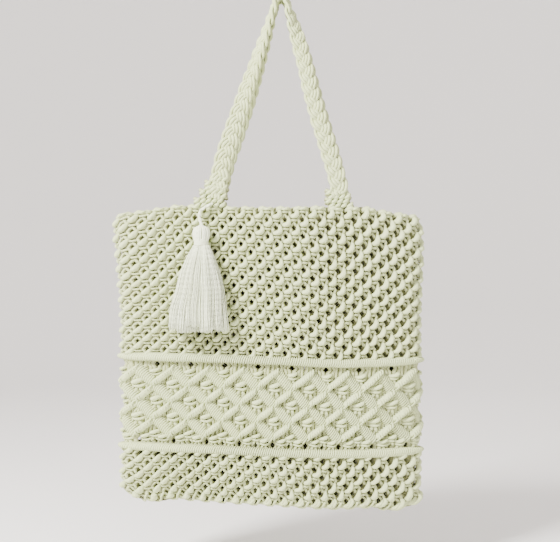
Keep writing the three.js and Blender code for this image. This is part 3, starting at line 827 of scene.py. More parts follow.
class StageSettings(bpy.types.PropertyGroup):
    floor_colour: colour_setting(
        "Floor colour", "Colour of the floor and backdrop", (0.97, 0.95, 0.94))
    key: bpy.props.FloatProperty(
        name="Key light", description="Strength of the key light in watts", min=0, default=98)
    fill: bpy.props.FloatProperty(
        name="Fill light", description="Strength of the fill light in watts", min=0, default=8)


def settings():
    return bpy.context.scene.tote_bag


class BagSettings(bpy.types.PropertyGroup):
    cord: bpy.props.PointerProperty(type=CordSettings)
    knots: bpy.props.PointerProperty(type=KnotSettings)
    handles: bpy.props.PointerProperty(type=HandleSettings)
    tassel: bpy.props.PointerProperty(type=TasselSettings)
    stage: bpy.props.PointerProperty(type=StageSettings)


def add_node(tree, kind, **values):
    node = tree.nodes.new(kind)
    for key, value in values.items():
        setattr(node, key, value)
    return node


def maths(tree, operation, first, second=None, third=None):
    node = add_node(tree, "ShaderNodeMath", operation=operation)
    for socket, value in zip(node.inputs, (first, second, third)):
        if value is None:
            continue
        if isinstance(value, (int, float)):
            socket.default_value = value
        else:
            tree.links.new(value, socket)
    return node.outputs[0]


def noise(tree, vector, scale, detail):
    node = add_node(tree, "ShaderNodeTexNoise")
    node.inputs["Scale"].default_value = scale
    node.inputs["Detail"].default_value = detail
    tree.links.new(vector, node.inputs["Vector"])
    return node.outputs["Fac"]


def mixed(tree, amount, first, second):
    node = add_node(tree, "ShaderNodeMix", data_type="RGBA")
    tree.links.new(amount, node.inputs[0])
    for socket, value in ((node.inputs[6], first), (node.inputs[7], second)):
        if isinstance(value, tuple):
            socket.default_value = value
        else:
            tree.links.new(value, socket)
    return node.outputs[2]


def cord_material(slot):
    """Twisted cotton: strands along the cord, fuzz, uneven colour, and painted shade in the grooves of the
    twist and where cords lie deep.
    """
    known = bpy.data.materials.get(slot + "_finish")
    if known:
        return known
    values = settings().cord
    pale = slot == "tassel_cotton"
    light = values.white if pale else values.ecru
    shade = values.white_painted_shade if pale else values.ecru_painted_shade
    material = bpy.data.materials.new(slot + "_finish")
    material.use_nodes = True
    tree = material.node_tree
    shader = tree.nodes["Principled BSDF"]
    place = add_node(tree, "ShaderNodeTexCoord").outputs["Object"]
    lengthwise = add_node(tree, "ShaderNodeUVMap", uv_map="UVMap").outputs["UV"]
    split = add_node(tree, "ShaderNodeSeparateXYZ")
    tree.links.new(lengthwise, split.inputs[0])
    turns = maths(tree, "MULTIPLY", split.outputs["X"], 2 * math.pi * values.strands / values.twist / 3)
    around = maths(tree, "MULTIPLY", split.outputs["Y"], 2 * math.pi * values.strands)
    wave = maths(tree, "SINE", maths(tree, "ADD", turns, around))
    ridge = maths(tree, "MULTIPLY_ADD", wave, 0.5, 0.5)
    patches = noise(tree, place, 42.0, 2.0)
    flecks = noise(tree, place, 900.0, 4.0)
    fuzz = noise(tree, place, 2600.0, 2.0)
    depth = add_node(tree, "ShaderNodeAttribute", attribute_name="depth").outputs["Fac"]
    dark = tuple(shade) + (1.0,)
    bright = tuple(light) + (1.0,)
    warm = (light[0] * 0.96, light[1] * 0.95, light[2] * 0.86, 1.0)
    body = mixed(tree, maths(tree, "MULTIPLY_ADD", patches, 1.4, -0.4), bright, warm)
    fleck_share = maths(tree, "MULTIPLY_ADD", flecks, 0.5, -0.1)
    body = mixed(tree, fleck_share, body, (light[0] * 0.83, light[1] * 0.83, light[2] * 0.72, 1.0))
    # Painted shade in the grooves between the twisted strands.
    groove_shade = maths(tree, "MULTIPLY", maths(tree, "SUBTRACT", 1.0, ridge), 0.16)
    body = mixed(tree, groove_shade, body, dark)
    # Painted shade where the cords lie deep, by the depth attribute.
    hollow_shade = maths(tree, "MULTIPLY", maths(tree, "POWER", depth, 1.25), 0.9)
    body = mixed(tree, hollow_shade, body, dark)
    tree.links.new(body, shader.inputs["Base Color"])
    shader.inputs["Roughness"].default_value = values.roughness
    shader.inputs["Specular IOR Level"].default_value = 0.2
    shader.inputs["Sheen Weight"].default_value = values.sheen
    shader.inputs["Sheen Roughness"].default_value = 0.5
    height = maths(tree, "MULTIPLY_ADD", ridge, 0.7, maths(tree, "MULTIPLY", fuzz, 0.5))
    bump = add_node(tree, "ShaderNodeBump")
    bump.inputs["Strength"].default_value = 0.55
    bump.inputs["Distance"].default_value = 0.35 * MM
    tree.links.new(height, bump.inputs["Height"])
    tree.links.new(bump.outputs["Normal"], shader.inputs["Normal"])
    return material


def knot_unit(name, bar=KNOT_BAR, side=KNOT_SIDE, pad_size=1.0):
    """One square knot of the field, laid flat, with the cords behind it as one flat pad."""
    thick = make_cords(name, [cord_route(bar)], 1)
    rest = make_cords(name + "_rest", [cord_route(table) for table in (side, KNOT_UNDER, KNOT_LEG)], 0)
    # The pad lies deep behind the knot, so it takes nearly the full painted shade.
    pad = make_cords(name + "_pad", [cord_route(KNOT_PAD)], 0)
    flat = vertices_of(pad)
    reach = np.abs(flat).max(axis=0)
    move_vertices(pad, flat * (pad_size * PAD_WIDTH / reach[0], pad_size, PAD_DEPTH / reach[2]))
    shift_piece(pad, (0, 0, PAD_OUT))
    return joined(name, [thick, rest, pad])


def tuck_edge(piece, edge, facing):
    """Turns in what stands beyond the upper (1) or lower (-1) edge of the flat cloth."""
    flat = vertices_of(piece)
    beyond = np.maximum(0, facing * (flat[:, 1] - edge))
    flat[:, 1] -= facing * (beyond - TUCK * np.tanh(beyond / TUCK))
    flat[:, 2] -= TUCK_LEAN * beyond
    move_vertices(piece, flat)


def tightness(places, height):
    """How tight the cloth is knotted, from 0 to 1, at flat places."""
    knots = places[:, 0] / PITCH
    down = -places[:, 1] / height
    wide = np.exp(-((knots - TIGHT_MIDDLE) / TIGHT_REACH) ** 4)
    odd = TIGHT_ODD * waver(places[:, 0], down, 5, 36, 9)
    front = np.clip(wide * (1 - TIGHT_FADE * down) + odd, 0, 1)
    return np.where(knots > KNOTS_ROUND / 2, 1, front)


def steepness(places):
    """How steeply the thick cords rise, from 0 to 1, at flat places."""
    share = np.clip((places[:, 0] / PITCH - STEEP_START) / (STEEP_FULL - STEEP_START), 0, 1)
    return np.where(places[:, 0] > PITCH * KNOTS_ROUND / 2, 0, share)


def knot_cloth(name, zone, rows, below):
    """Rows of square knots, each row set half a knot on from the one above."""
    step = zone.height / rows
    fit = (1, step / ROW_STEP, 1)
    even = knot_unit(name)
    move_vertices(even, vertices_of(even) * fit)
    changes = []
    for bar, side, pad_size in ((TIGHT_BAR, TIGHT_SIDE, TIGHT_PAD), (STEEP_BAR, KNOT_SIDE, 1.0)):
        other = knot_unit(name + "_other", bar, side, pad_size)
        changes.append(vertices_of(other) * fit - vertices_of(even))
        bpy.data.objects.remove(other)
    odd = copy_of(even, name + "_odd")
    shift_piece(even, (PITCH / 2, -step / 2, 0))
    shift_piece(odd, (0, -step * 1.5, 0))
    for piece, number in ((even, rows // 2 + 1), (odd, (rows + 1) // 2)):
        repeat_round(piece)
        repeat(piece, number, (0, -2 * step, 0))
    cloth = joined(name, [even, odd])
    knots = vertices_of(cloth).reshape(-1, len(changes[0]), 3)
    middles = knots.mean(axis=1)
    tight = tightness(middles, zone.height)[:, None, None]
    steep = steepness(middles)[:, None, None]
    move_vertices(cloth, knots + tight * changes[0] + (1 - tight) * steep * changes[1])
    tuck_edge(cloth, -zone.height - below, -1)
    return cloth


class UpperField(bpy.types.Operator):
    """Knot the field between the looped rim and the upper rib"""
    bl_idname = "tote.upper_field"
    bl_label = "Upper field"

    def execute(self, context):
        cloth = knot_cloth("knotted_field", UPPER, UPPER_ROWS, 0.5 * MM)
        tuck_edge(cloth, -3.2 * MM, 1)
        loops = make_cords("rim_loops", [cord_route(RIM_LARGE), cord_route(RIM_SMALL)], 1)
        shift_piece(loops, (PITCH / 2, 0, 0))
        repeat_round(loops)
        field = joined("knotted_field", [cloth, loops])
        lay_on(field, UPPER, CLOTH_OUT, 11, SHOULDER_RISE)
        finish_piece(field, "cotton_cord", ["upper_field"])
        return {"FINISHED"}


class Ribs(bpy.types.Operator):
    """Wrap the hitches of both ribs"""
    bl_idname = "tote.ribs"
    bl_label = "Ribs"

    def execute(self, context):
        for line, name, node in ((1, "rib_above", "upper_rib"), (2, "rib_below", "lower_rib")):
            self.make_rib(line, name, node)
        return {"FINISHED"}

    def make_rib(self, line, name, node):
        values = settings().knots
        wraps = make_cords(name, [cord_route(RIB_WRAP)], 0)
        spacing = PITCH * KNOTS_ROUND / values.rib_wraps
        repeat(wraps, values.rib_wraps, (spacing, 0, 0))
        places = np.linspace(0, PITCH * KNOTS_ROUND, 181)
        core = np.stack((places, 0 * places, 0 * places - 3 * MM, 0 * places + 3.4 * MM), axis=1)
        carrier = make_cords(name + "_core", [core], 1)
        rib = joined(name, [wraps, carrier])
        flat = vertices_of(rib)
        # Painted shade: the carrier and the ends of the hitches, lying deeper, get more of the shade colour.
        set_depth(rib, (1.5 * MM - flat[:, 2]) / (6 * MM))
        share = np.full(len(flat), 0.5)
        sway_cords(flat, share, RIB_SWAYS, (line, line + 10, line + 20), 2)
        flat[:, 2] += values.rib_proud
        move_vertices(rib, place_on_rib(line, flat))
        finish_piece(rib, "cotton_cord", [node])


class DiamondBand(bpy.types.Operator):
    """Knot the diamond lattice between the ribs"""
    bl_idname = "tote.diamond_band"
    bl_label = "Diamond band"

    def execute(self, context):
        parts = [self.bars(), self.hitches(), self.smiles(), self.edges(), self.backing()]
        band = joined("diamond_lattice", parts)
        lay_on(band, BAND, CLOTH_OUT, 31)
        finish_piece(band, "cotton_cord", ["diamond_band"])
        return {"FINISHED"}

    def on_edges(self, name, piece, rising):
        """Copies a piece to every side of the diamonds that runs one way."""
        other = copy_of(piece, name + "_odd")
        top = -LATTICE_START - LATTICE_STEP / 2
        first, second = (0.5, 1.5) if rising else (1.5, 0.5)
        shift_piece(piece, (PITCH * first, top, 0))
        shift_piece(other, (PITCH * second, top - LATTICE_STEP, 0))
        for part in (piece, other):
            repeat_round(part, 2)
            repeat(part, LATTICE_ROWS // 2, (0, -2 * LATTICE_STEP, 0))
        return joined(name, [piece, other])

    def bars(self):
        """Raised bars that rise to the right, each a cord bundle under a few hitches."""
        bundle = make_cords("lattice_bar", [cord_route(LATTICE_BAR)], 1)
        hitch = make_cords("bar_hitch", [cord_route(BAR_HITCH)], 0)
        step = np.array(BAR_HITCH_STEP) * MM
        start = -step * (BAR_HITCHES - 1) / 2
        shift_piece(hitch, (start[0], start[1], 0))
        repeat(hitch, BAR_HITCHES, (step[0], step[1], 0))
        bar = joined("lattice_bar", [bundle, hitch])
        shift_piece(bar, (0, 0, 2 * MM))
        end = copy_of(bar, "lattice_bar_end")
        move_vertices(end, vertices_of(end) * (0.9, 0.9, 0.9))
        along, up = TOP_BAR_SHIFT
        middle = -LATTICE_START - LATTICE_STEP / 2
        shift_piece(end, (PITCH / 2 + 2 * along * MM, middle + 2 * up * MM, 0))
        repeat_round(end, 2)
        return joined("lattice_bars", [self.on_edges("lattice_bars", bar, True), end])

    def hitches(self):
        """Flatter rows of hitches that fall to the right."""
        count = settings().knots.bar_wraps
        wrap = make_cords("lattice_hitch", [cord_route(LATTICE_WRAP)], 0)
        shift_piece(wrap, (-PITCH / 2 * (1 - 1 / count), LATTICE_STEP / 2 * (1 - 1 / count), 2 * MM))
        repeat(wrap, count, (PITCH / count, -LATTICE_STEP / count, 0))
        return self.on_edges("lattice_hitches", wrap, False)

    def smile(self, name, wide, tall, whole):
        """One small knot: a thick bar, a thinner one below it and the cords that enter it."""
        routes = [cord_route(SMILE_BAR), cord_route(SMILE_UNDER)]
        bars = make_cords(name, routes, 1)
        routes = [cord_route(SMILE_LEG), cord_route(SMILE_LEG, mirrored=True)]
        if whole:
            routes += [cord_route(SMILE_TOP, shift=(step * 3.1 * MM, 0, 0)) for step in range(3)]
        cords = make_cords(name + "_cords", routes, 0)
        knot = joined(name, [bars, cords])
        move_vertices(knot, vertices_of(knot) * (wide, tall, 1))
        return knot

    def smiles(self):
        """A small knot in the middle of each diamond."""
        outer = self.smile("lattice_knot", 1.0, 1.0, True)
        inner = copy_of(outer, "lattice_knot_inner")
        shift_piece(outer, (PITCH, -LATTICE_START - LATTICE_STEP, 0))
        shift_piece(inner, (0, -LATTICE_START - 2 * LATTICE_STEP, 0))
        repeat_round(outer, 2)
        repeat(outer, 2, (0, -2 * LATTICE_STEP, 0))
        repeat_round(inner, 2)
        return joined("lattice_knots", [outer, inner])

    def edges(self):
        """Knots between the lattice and the ribs."""
        upper = self.smile("edge_knot", 0.85, 0.8, False)
        lower = copy_of(upper, "edge_knot_lower")
        point = copy_of(upper, "edge_knot_point")
        shift_piece(upper, (0, -LATTICE_START - EDGE_KNOT_ABOVE, 0))
        shift_piece(point, (0, -LATTICE_START - 4 * LATTICE_STEP, 0))
        shift_piece(lower, (PITCH / 2, -BAND.height + EDGE_KNOT_BELOW, 0))
        repeat_round(upper, 2)
        repeat_round(point, 2)
        repeat_round(lower)
        return joined("edge_knots", [upper, lower, point])

    def backing(self):
        """Cords that run down behind the lattice and part at the gaps beside the ribs."""
        heights = np.linspace(3 * MM, -BAND.height - 3 * MM, 31)
        upper_place, upper_reach, upper_push = UPPER_GAP
        lower_place, lower_reach, lower_push = LOWER_GAP
        routes = []
        for number in range(BACKING_CORDS):
            along = (number + 0.5 - BACKING_CORDS / 2) / (BACKING_CORDS / 2)
            middle = 2 * round(along / 2)
            off = along - middle
            upper_gap = np.exp(-((heights + upper_place) / upper_reach) ** 2) * (abs(off) < 0.4)
            middle = round(along)
            nearer = along - middle
            lower_gap = np.exp(-((heights + BAND.height - lower_place) / lower_reach) ** 2)
            push = upper_push * np.sign(off) * upper_gap + lower_push * np.sign(nearer) * lower_gap
            sway = 0.4 * MM * np.sin(heights / LATTICE_STEP * math.pi + along * 9)
            place = along * PITCH + push + sway
            girth = 0 * heights + BACKING_GIRTH - BACKING_THINNER * np.maximum(upper_gap, lower_gap)
            routes.append(np.stack((place, heights, 0 * heights + BACKING_OUT, girth), axis=1))
        cords = make_cords("lattice_backing", [closed_ends(route) for route in routes], 0)
        repeat_round(cords, 2)
        return cords


class LowerField(bpy.types.Operator):
    """Knot the cup below the lower rib and join its seam"""
    bl_idname = "tote.lower_field"
    bl_label = "Lower field"

    def execute(self, context):
        cloth = knot_cloth("knotted_cup", LOWER, LOWER_ROWS, 2.6 * MM)
        lay_on(cloth, LOWER, CLOTH_OUT, 51)
        cup = joined("knotted_cup", [cloth, self.seam()])
        finish_piece(cup, "cotton_cord", ["lower_field"])
        return {"FINISHED"}

    def seam(self):
        """Loops that join the front hem to the back hem."""
        routes = []
        half = KNOTS_ROUND // 2
        for number in range(2 * half - 1):
            knots = (number + 1) / 2
            tip = number % 2 == 1
            girth = 1.5 if tip else 2.5
            fall = -4.6 if tip else -2.0
            rise = np.array([5.0, 0.2, fall, fall, 0.2, 3.0]) * MM
            slant = np.array([4.2, 1.4, -1.6, -1.6, -0.6, 0.6]) * MM
            sides = (knots, knots, knots, KNOTS_ROUND - knots, KNOTS_ROUND - knots, KNOTS_ROUND - knots)
            outs = np.array([0.8, 1.0, -2.4, -2.4, 0.6, 0.4]) * MM - 2.4 * MM
            flat = np.stack((np.array(sides) * PITCH, rise * 0 - LOWER.height, outs), axis=1)
            spots = LOWER.place(flat)
            spots[:, 2] += rise
            spots[:, 0] += slant
            route = np.hstack((spots, np.full((6, 1), girth * MM)))
            routes.append(closed_ends(smooth_path(route, 2)))
        seam = make_cords("seam_loops", routes, 1)
        # A mild painted shade over all the seam loops.
        set_depth(seam, 0.25)
        return seam


def rim_top(base):
    """Highest point of the rim under the foot of a handle."""
    sides = base + np.array([-1, -0.5, 0, 0.5, 1]) * BASE_WIDTH / 2
    return float(line_height(0, (sides + BODY_SHIFT) / (BAG_WIDTH / 2)).max()) + PICOT_RISE


class StrapRoute:
    """Centre line of one handle with the directions across and through the strap."""

    samples = 400

    def __init__(self, facing):
        self.facing = facing
        lean = BACK_LEAN if facing > 0 else 0.0

        def leg(base, rows):
            points = []
            for drop, reach in rows:
                points.append((
                    base * reach + lean * math.sin(math.pi * drop),
                    facing * (TOP_Y + (BASE_Y - TOP_Y) * min(1, drop * 2)),
                    -RIM_DROP * drop))
            return points

        def foot(base):
            return (base, facing * BASE_Y, rim_top(base) + CLEARANCE)

        def bend(side):
            return (side * TOP_SPREAD * 0.72, facing * TOP_Y, STRAP_THICKNESS / 2 - TOP_SPREAD * 0.4)

        crown = (0, facing * TOP_Y, STRAP_THICKNESS / 2)
        points = [foot(BASE_LEFT), *leg(BASE_LEFT, LEFT_LEG)[::-1], bend(-1), crown, bend(1),
                  *leg(BASE_RIGHT, RIGHT_LEG), foot(BASE_RIGHT)]
        path = even_path(smooth_path(points, 30), self.samples + 1)
        self.path = path
        self.length = float(np.linalg.norm(np.diff(path, axis=0), axis=1).sum())
        tangent = np.gradient(path, axis=0)
        tangent /= np.linalg.norm(tangent, axis=1)[:, None]
        share = np.linspace(0, 1, self.samples + 1)
        drop = -path[:, 2] / RIM_DROP
        reach = np.where(path[:, 0] < 0, LEFT_TURN, RIGHT_TURN)
        twist = math.pi / 2 * np.clip(1 - drop / reach, 0, 1) ** TURN_POWER
        across = np.stack((-tangent[:, 2], 0 * share, tangent[:, 0]), axis=1)
        across /= np.linalg.norm(across, axis=1)[:, None]
        through = np.array((0.0, 1.0, 0.0))
        cos = np.cos(twist)[:, None]
        sin = np.sin(twist)[:, None]
        self.wide = across * cos + through * sin
        self.thin = through * cos - across * sin

    def at(self, along, wide, thin):
        """Places at distances along the strap, across it and through it."""
        share = np.clip(along / self.length, 0, 1) * self.samples
        grid = np.arange(self.samples + 1)

        def pick(values):
            return np.stack([np.interp(share, grid, column) for column in values.T], axis=1)

        return pick(self.path) + pick(self.wide) * wide[:, None] + pick(self.thin) * thin[:, None]


class Handles(bpy.types.Operator):
    """Plait both handles and knot their bases"""
    bl_idname = "tote.handles"
    bl_label = "Handles"

    def execute(self, context):
        for facing, name, node in ((-1, "plait_front", "handle_front"), (1, "plait_back", "handle_back")):
            strap = StrapRoute(facing)
            parts = [self.plait(strap, name), self.base(strap, BASE_LEFT), self.base(strap, BASE_RIGHT)]
            finish_piece(joined(name, parts), "cotton_cord", [node])
        return {"FINISHED"}

    def plait(self, strap, name):
        values = settings().handles
        start = 0.3 * BASE_HEIGHT
        along = np.arange(start, strap.length - start, 2.4 * MM)
        spacing = values.cord_girth * 1.8
        half_strand = (values.cords - 1) / 2 * spacing + values.cord_girth
        swing = STRAP_WIDTH / 2 - half_strand
        lift = STRAP_THICKNESS / 2 - values.cord_girth - 0.5 * MM
        flat = 0 * along
        drop = -strap.at(along, flat, flat)[:, 2] / RIM_DROP
        swell = 1 + STRAP_SWELL * np.clip((drop - 0.3) / 0.4, 0, 1)
        routes = []
        depths = []
        draw = np.random.default_rng(71 + strap.facing)
        for strand in range(3):
            phase = 2 * math.pi * (along / values.plait_length + strand / 3)
            slope = np.arctan(swing * 2 * math.pi / values.plait_length * np.cos(phase))
            for cord in range(values.cords):
                place = cord - (values.cords - 1) / 2
                offset = place * spacing * draw.uniform(0.95, 1.05)
                crown = 0.7 * MM * (1 - (2 * place / max(1, values.cords - 1)) ** 2)
                over = np.sin(2 * phase)
                wide = swing * np.sin(phase) + offset * np.cos(slope)
                thin = lift * over + np.sign(over) * crown * np.abs(over)
                places = strap.at(along - offset * np.sin(slope), wide * swell, thin)
                girth = (values.cord_girth * draw.uniform(0.94, 1.08) * swell ** 0.7)[:, None]
                routes.append(closed_ends(np.hstack((places, girth))))
                sides = np.concatenate(([thin[0]], thin, [thin[-1]]))
                depths.append(np.repeat(0.5 - 0.5 * np.abs(sides) / (STRAP_THICKNESS / 2), 6))
        plait = make_cords(name, routes, 1)
        # Painted shade: cords where they pass through the middle of the strap get more of the shade colour,
        # those on its faces less.
        set_depth(plait, np.concatenate(depths) * 0.8)
        return plait

    def base(self, strap, base):
        """Rows of short knots that narrow from the rim to the plait."""
        ends = np.array(BASE_ENDS[base < 0]) * MM
        foot = rim_top(base) + CLEARANCE
        pieces = []
        rows = BASE_ROWS[base < 0]
        for row in range(rows):
            share = (row + 0.5) / rows
            left = ends[0, 0] + (ends[1, 0] - ends[0, 0]) * share
            right = ends[0, 1] + (ends[1, 1] - ends[0, 1]) * share
            count = max(3, int(round((right - left) / BASE_KNOT)))
            spacing = (right - left) / count
            bars = make_cords("base_bar", [cord_route(BASE_BAR), cord_route(BASE_UNDER)], 0)
            flat = vertices_of(bars)
            # Painted shade: deeper cords of the base knots get more of the shade colour.
            set_depth(bars, (4 * MM - flat[:, 2]) / (9 * MM))
            shift_piece(bars, (left + spacing * (0.5 + 0.25 * (-1) ** row), BASE_ROW * (row + 0.5), 0))
            repeat(bars, count, (spacing, 0, 0))
            pieces.append(bars)
        cloth = joined("base_knots", pieces)
        flat = vertices_of(cloth)
        out = flat[:, 2]
        x = flat[:, 0]
        z = foot - BASE_SINK + flat[:, 1]
        move_vertices(cloth, np.stack((x, strap.facing * (BASE_Y + out), z), axis=1))
        if strap.facing > 0:
            edit_all(cloth, bpy.ops.mesh.flip_normals)
        return cloth


def skirt_value(down, column):
    return np.interp(down, SKIRT_ROWS[:, 0], SKIRT_ROWS[:, column])


class Tassel(bpy.types.Operator):
    """Bind the tassel and comb out its skirt"""
    bl_idname = "tote.tassel"
    bl_label = "Tassel"

    def execute(self, context):
        self.head_bottom = -TASSEL_DROP - HEAD_HEIGHT
        self.binding_bottom = self.head_bottom - CLEARANCE - BINDING_HEIGHT
        self.skirt_top = self.binding_bottom - CLEARANCE
        slot = "tassel_cotton"
        finish_piece(self.tie(), slot, ["tassel_tie"])
        finish_piece(self.head(), slot, ["tassel_head"])
        finish_piece(self.binding(), slot, ["tassel_binding"])
        finish_piece(self.skirt(), slot, ["tassel_skirt"])
        return {"FINISHED"}

    def tie(self):
        """Two thin strands twisted round each other."""
        rim_front = -LEVELS[0, LEVEL_DEPTH] * BAG_DEPTH / 2
        route = []
        for side, rise, out in TIE_ROUTE:
            route.append((TASSEL_AT + side * MM, rim_front - out * MM, -TASSEL_DROP + rise * MM + CLEARANCE))
        path = even_path(smooth_path(route, 8), 40)
        routes = []
        for number in range(2):
            angle = np.linspace(0, 5 * math.pi, len(path)) + number * math.pi
            strand = path + 0.95 * MM * np.stack((np.cos(angle), np.sin(angle), 0.3 * np.sin(angle)), axis=1)
            routes.append(closed_ends(np.hstack((strand, np.full((len(path), 1), 1.25 * MM)))))
        tie = make_cords("tie_strands", routes, 1)
        # A slight painted shade over the whole tie.
        set_depth(tie, 0.1)
        return tie

    def head(self):
        """Strands folded over the top and gathered down into the binding."""
        draw = np.random.default_rng(81)
        routes = []
        strands = 20
        girth = 1.55 * MM
        for number in range(strands):
            angle = 2 * math.pi * (number + draw.uniform(-0.2, 0.2)) / strands
            down = HEAD_ROWS[:, 0] * HEAD_HEIGHT
            reach = HEAD_ROWS[:, 1] * draw.uniform(0.92, 1.03)
            x = TASSEL_AT + np.cos(angle) * reach * (HEAD_WIDTH / 2 - girth * 0.4)
            y = TASSEL_Y + np.sin(angle) * reach * (HEAD_DEPTH / 2 - girth * 0.4)
            z = -TASSEL_DROP - girth - down
            points = np.stack((x, y, z, np.full(len(down), girth * draw.uniform(0.85, 1.1))), axis=1)
            routes.append(closed_ends(smooth_path(points, 2)))
        core = [(TASSEL_AT, TASSEL_Y, -TASSEL_DROP - share * HEAD_HEIGHT, 6.2 * MM)
                for share in (0.1, 0.5, 1.0)]
        routes.append(closed_ends(np.array(core)))
        head = make_cords("tassel_top", routes, 1)
        # A very slight painted shade over the whole head.
        set_depth(head, 0.05)
        return head

    def binding(self):
        """Turns of cord round the neck."""
        turns = 5
        girth = BINDING_HEIGHT / turns / 2 * 1.08
        angle = np.linspace(0, 2 * math.pi * turns, 24 * turns + 1)
        x = TASSEL_AT + (BINDING_WIDTH / 2 - girth) * 0.95 * np.cos(angle)
        y = TASSEL_Y + (BINDING_DEPTH / 2 - girth) * np.sin(angle)
        z = self.binding_bottom + girth + (BINDING_HEIGHT - 2 * girth) * angle / angle[-1]
        winding = closed_ends(np.stack((x, y, z, 0 * z + girth), axis=1))
        core = np.array([(TASSEL_AT, TASSEL_Y, self.binding_bottom, 6.4 * MM),
                         (TASSEL_AT, TASSEL_Y, self.head_bottom, 6.4 * MM)])
        binding = make_cords("neck_winding", [winding, closed_ends(core)], 1)
        # A mild painted shade over the whole binding.
        set_depth(binding, 0.25)
        return binding

    def skirt(self):
        """Cut strands gathered in locks, longer and shorter at the ends."""
        values = settings().tassel
        draw = np.random.default_rng(91)
        steps = 13
        share = np.linspace(0, 1, steps + 1)
        routes = []
        depths = []
        for lock in range(values.locks):
            lock_angle = 2 * math.pi * (lock + draw.uniform(-0.25, 0.25)) / values.locks
            lock_reach = draw.uniform(0.62, 0.8)
            lock_length = draw.uniform(0.93, 1.0)
            sway = draw.uniform(-0.05, 0.05, 2)
            for _ in range(values.lock_strands):
                spread = math.sqrt(draw.uniform(0, 1)) * draw.uniform(0.75, 1.0)
                angle = draw.uniform(0, 2 * math.pi)
                length = lock_length * draw.uniform(0.93, 1.0)
                down = share * length
                wisp = draw.normal(0, 0.02, 2)
                lock_girth = 0.34 - 0.1 * share
                side = np.cos(lock_angle) * lock_reach + np.cos(angle) * spread * lock_girth
                depth = np.sin(lock_angle) * lock_reach + np.sin(angle) * spread * lock_girth
                side += sway[0] * np.sin(share * 5 + lock) + wisp[0] * share ** 2
                depth += sway[1] * np.sin(share * 4 + lock) + wisp[1] * share ** 2
                reach = np.maximum(1, np.hypot(side, depth))
                side /= reach
                depth /= reach
                half_width = skirt_value(down, SKIRT_WIDE) * SKIRT_WIDTH / 2
                half_depth = skirt_value(down, SKIRT_DEEP) * SKIRT_DEPTH / 2
                x = TASSEL_AT + skirt_value(down, SKIRT_LEAN) * SKIRT_WIDTH + side * half_width
                y = TASSEL_Y + BINDING_DEPTH / 2 - half_depth + depth * half_depth
                z = self.skirt_top + 1.5 * MM - down * SKIRT_LENGTH
                girth = np.full(len(down), values.strand_girth * draw.uniform(0.8, 1.2))
                routes.append(closed_ends(np.stack((x, y, z, girth), axis=1)))
                # Painted shade: strands near the middle of a lock get more of the shade colour, with a
                # little random spread.
                depths.append(np.full((steps + 3) * 4, 0.36 * (1 - spread) + draw.uniform(0, 0.06)))
        skirt = make_cords("tassel_strands", routes, 0)
        set_depth(skirt, np.concatenate(depths))
        return skirt


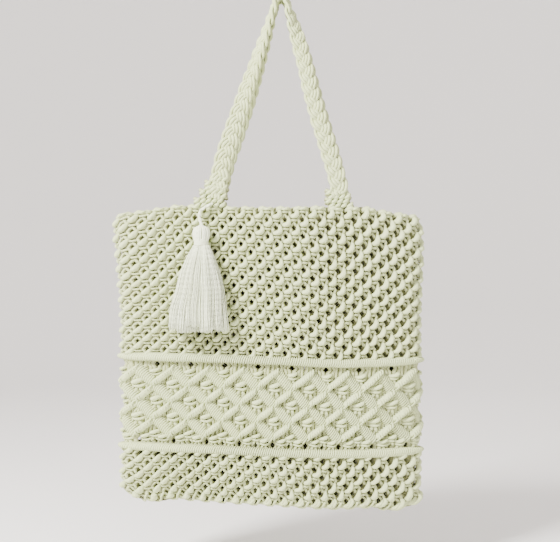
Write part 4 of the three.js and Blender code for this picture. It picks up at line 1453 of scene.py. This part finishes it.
class Stage(bpy.types.Operator):
    """Set the floor, the lights and the camera"""
    bl_idname = "tote.stage"
    bl_label = "Stage"

    photo_width = 560
    scale = 1.15 * MM
    eye = (-1.5 * MM, -1.22, -0.315)
    panel_y = -0.02
    aim_at = (0.0, 0.0, -0.36)
    air_strength = 0.42

    def execute(self, context):
        self.floor()
        self.lights()
        self.camera()
        return {"FINISHED"}

    def camera(self):
        camera = bpy.data.cameras.new("view")
        holder = bpy.data.objects.new("view", camera)
        bpy.context.collection.objects.link(holder)
        holder.location = self.eye
        holder.rotation_euler = (math.radians(90), 0, 0)
        distance = self.panel_y - self.eye[1]
        camera.sensor_fit = "HORIZONTAL"
        camera.angle = 2 * math.atan(self.photo_width * self.scale / 2 / distance)
        camera.clip_start = 0.05
        bpy.context.scene.camera = holder

    def floor(self):
        """Pale floor that rises in a round cove into a dome."""
        floor_z = -0.66
        radius = 3.2
        cove = 1.2
        profile = [(0, 0)]
        for step in range(9):
            angle = math.pi / 2 * step / 8
            profile.append((radius - cove + cove * math.sin(angle), cove - cove * math.cos(angle)))
        for step in range(1, 9):
            angle = math.pi / 2 * step / 8
            profile.append((radius * math.cos(angle), cove + radius * 0.8 * math.sin(angle)))
        sides = 48
        points = []
        faces = []
        for reach, rise in profile[1:-1]:
            for side in range(sides):
                angle = 2 * math.pi * side / sides
                points.append((reach * math.cos(angle), reach * math.sin(angle), floor_z + rise))
        rings = len(profile) - 2
        for ring in range(rings - 1):
            for side in range(sides):
                after = (side + 1) % sides
                faces.append((ring * sides + side, (ring + 1) * sides + side,
                              (ring + 1) * sides + after, ring * sides + after))
        faces.append(tuple(range(sides)))
        faces.append(tuple(range(rings * sides - 1, (rings - 1) * sides - 1, -1)))
        mesh = bpy.data.meshes.new("studio")
        mesh.from_pydata(points, [], faces)
        mesh.shade_smooth()
        studio = bpy.data.objects.new("studio", mesh)
        bpy.context.collection.objects.link(studio)
        material = bpy.data.materials.new("studio_paper")
        material.use_nodes = True
        shader = material.node_tree.nodes["Principled BSDF"]
        colour = settings().stage.floor_colour
        shader.inputs["Base Color"].default_value = tuple(colour) + (1.0,)
        shader.inputs["Roughness"].default_value = 0.9
        mesh.materials.append(material)

    def lights(self):
        values = settings().stage
        self.area("key_light", (-1.0, -1.0, 0.65), 0.4, values.key, (1.0, 0.98, 0.94))
        self.area("fill_light", (1.4, -1.6, 0.1), 1.4, values.fill, (0.94, 0.97, 1.0))
        self.area("back_light", (0.6, 1.8, 0.8), 1.2, values.fill, (1.0, 1.0, 1.0))
        world = bpy.context.scene.world or bpy.data.worlds.new("studio_air")
        bpy.context.scene.world = world
        world.use_nodes = True
        background = world.node_tree.nodes["Background"]
        background.inputs["Color"].default_value = (0.9, 0.92, 0.95, 1.0)
        background.inputs["Strength"].default_value = self.air_strength

    def area(self, name, place, size, power, colour):
        light = bpy.data.lights.new(name, "AREA")
        light.energy = power
        light.size = size
        light.color = colour
        holder = bpy.data.objects.new(name, light)
        bpy.context.collection.objects.link(holder)
        holder.location = place
        aim = np.array(self.aim_at) - np.array(place)
        pitch = math.atan2(math.hypot(aim[0], aim[1]), -aim[2])
        holder.rotation_euler = (pitch, 0, math.atan2(aim[1], aim[0]) - math.pi / 2)


class SidebarPanel(bpy.types.Panel):
    """Steps and sizes of the tote bag"""
    bl_idname = "VIEW3D_PT_tote_bag"
    bl_label = "Tote bag"
    bl_space_type = "VIEW_3D"
    bl_region_type = "UI"
    bl_category = "Tote bag"

    def draw(self, context):
        layout = self.layout
        bag = context.scene.tote_bag
        for step in STEPS:
            layout.operator(step.bl_idname)
        for group in (bag.cord, bag.knots, bag.handles, bag.tassel, bag.stage):
            box = layout.box()
            for name in group.__annotations__:
                box.prop(group, name)


STEPS = (Stage, UpperField, Ribs, DiamondBand, LowerField, Handles, Tassel)
GROUPS = (CordSettings, KnotSettings, HandleSettings, TasselSettings, StageSettings, BagSettings)


def register():
    for group in GROUPS:
        bpy.utils.register_class(group)
    for step in STEPS:
        bpy.utils.register_class(step)
    bpy.utils.register_class(SidebarPanel)
    bpy.types.Scene.tote_bag = bpy.props.PointerProperty(type=BagSettings)


def unregister():
    del bpy.types.Scene.tote_bag
    bpy.utils.unregister_class(SidebarPanel)
    for step in reversed(STEPS):
        bpy.utils.unregister_class(step)
    for group in reversed(GROUPS):
        bpy.utils.unregister_class(group)


def main():
    register()
    bpy.ops.object.select_all(action="DESELECT")
    bpy.ops.tote.stage()
    bpy.ops.tote.upper_field()
    bpy.ops.tote.ribs()
    bpy.ops.tote.diamond_band()
    bpy.ops.tote.lower_field()
    bpy.ops.tote.handles()
    bpy.ops.tote.tassel()


if __name__ == "__main__":
    main()
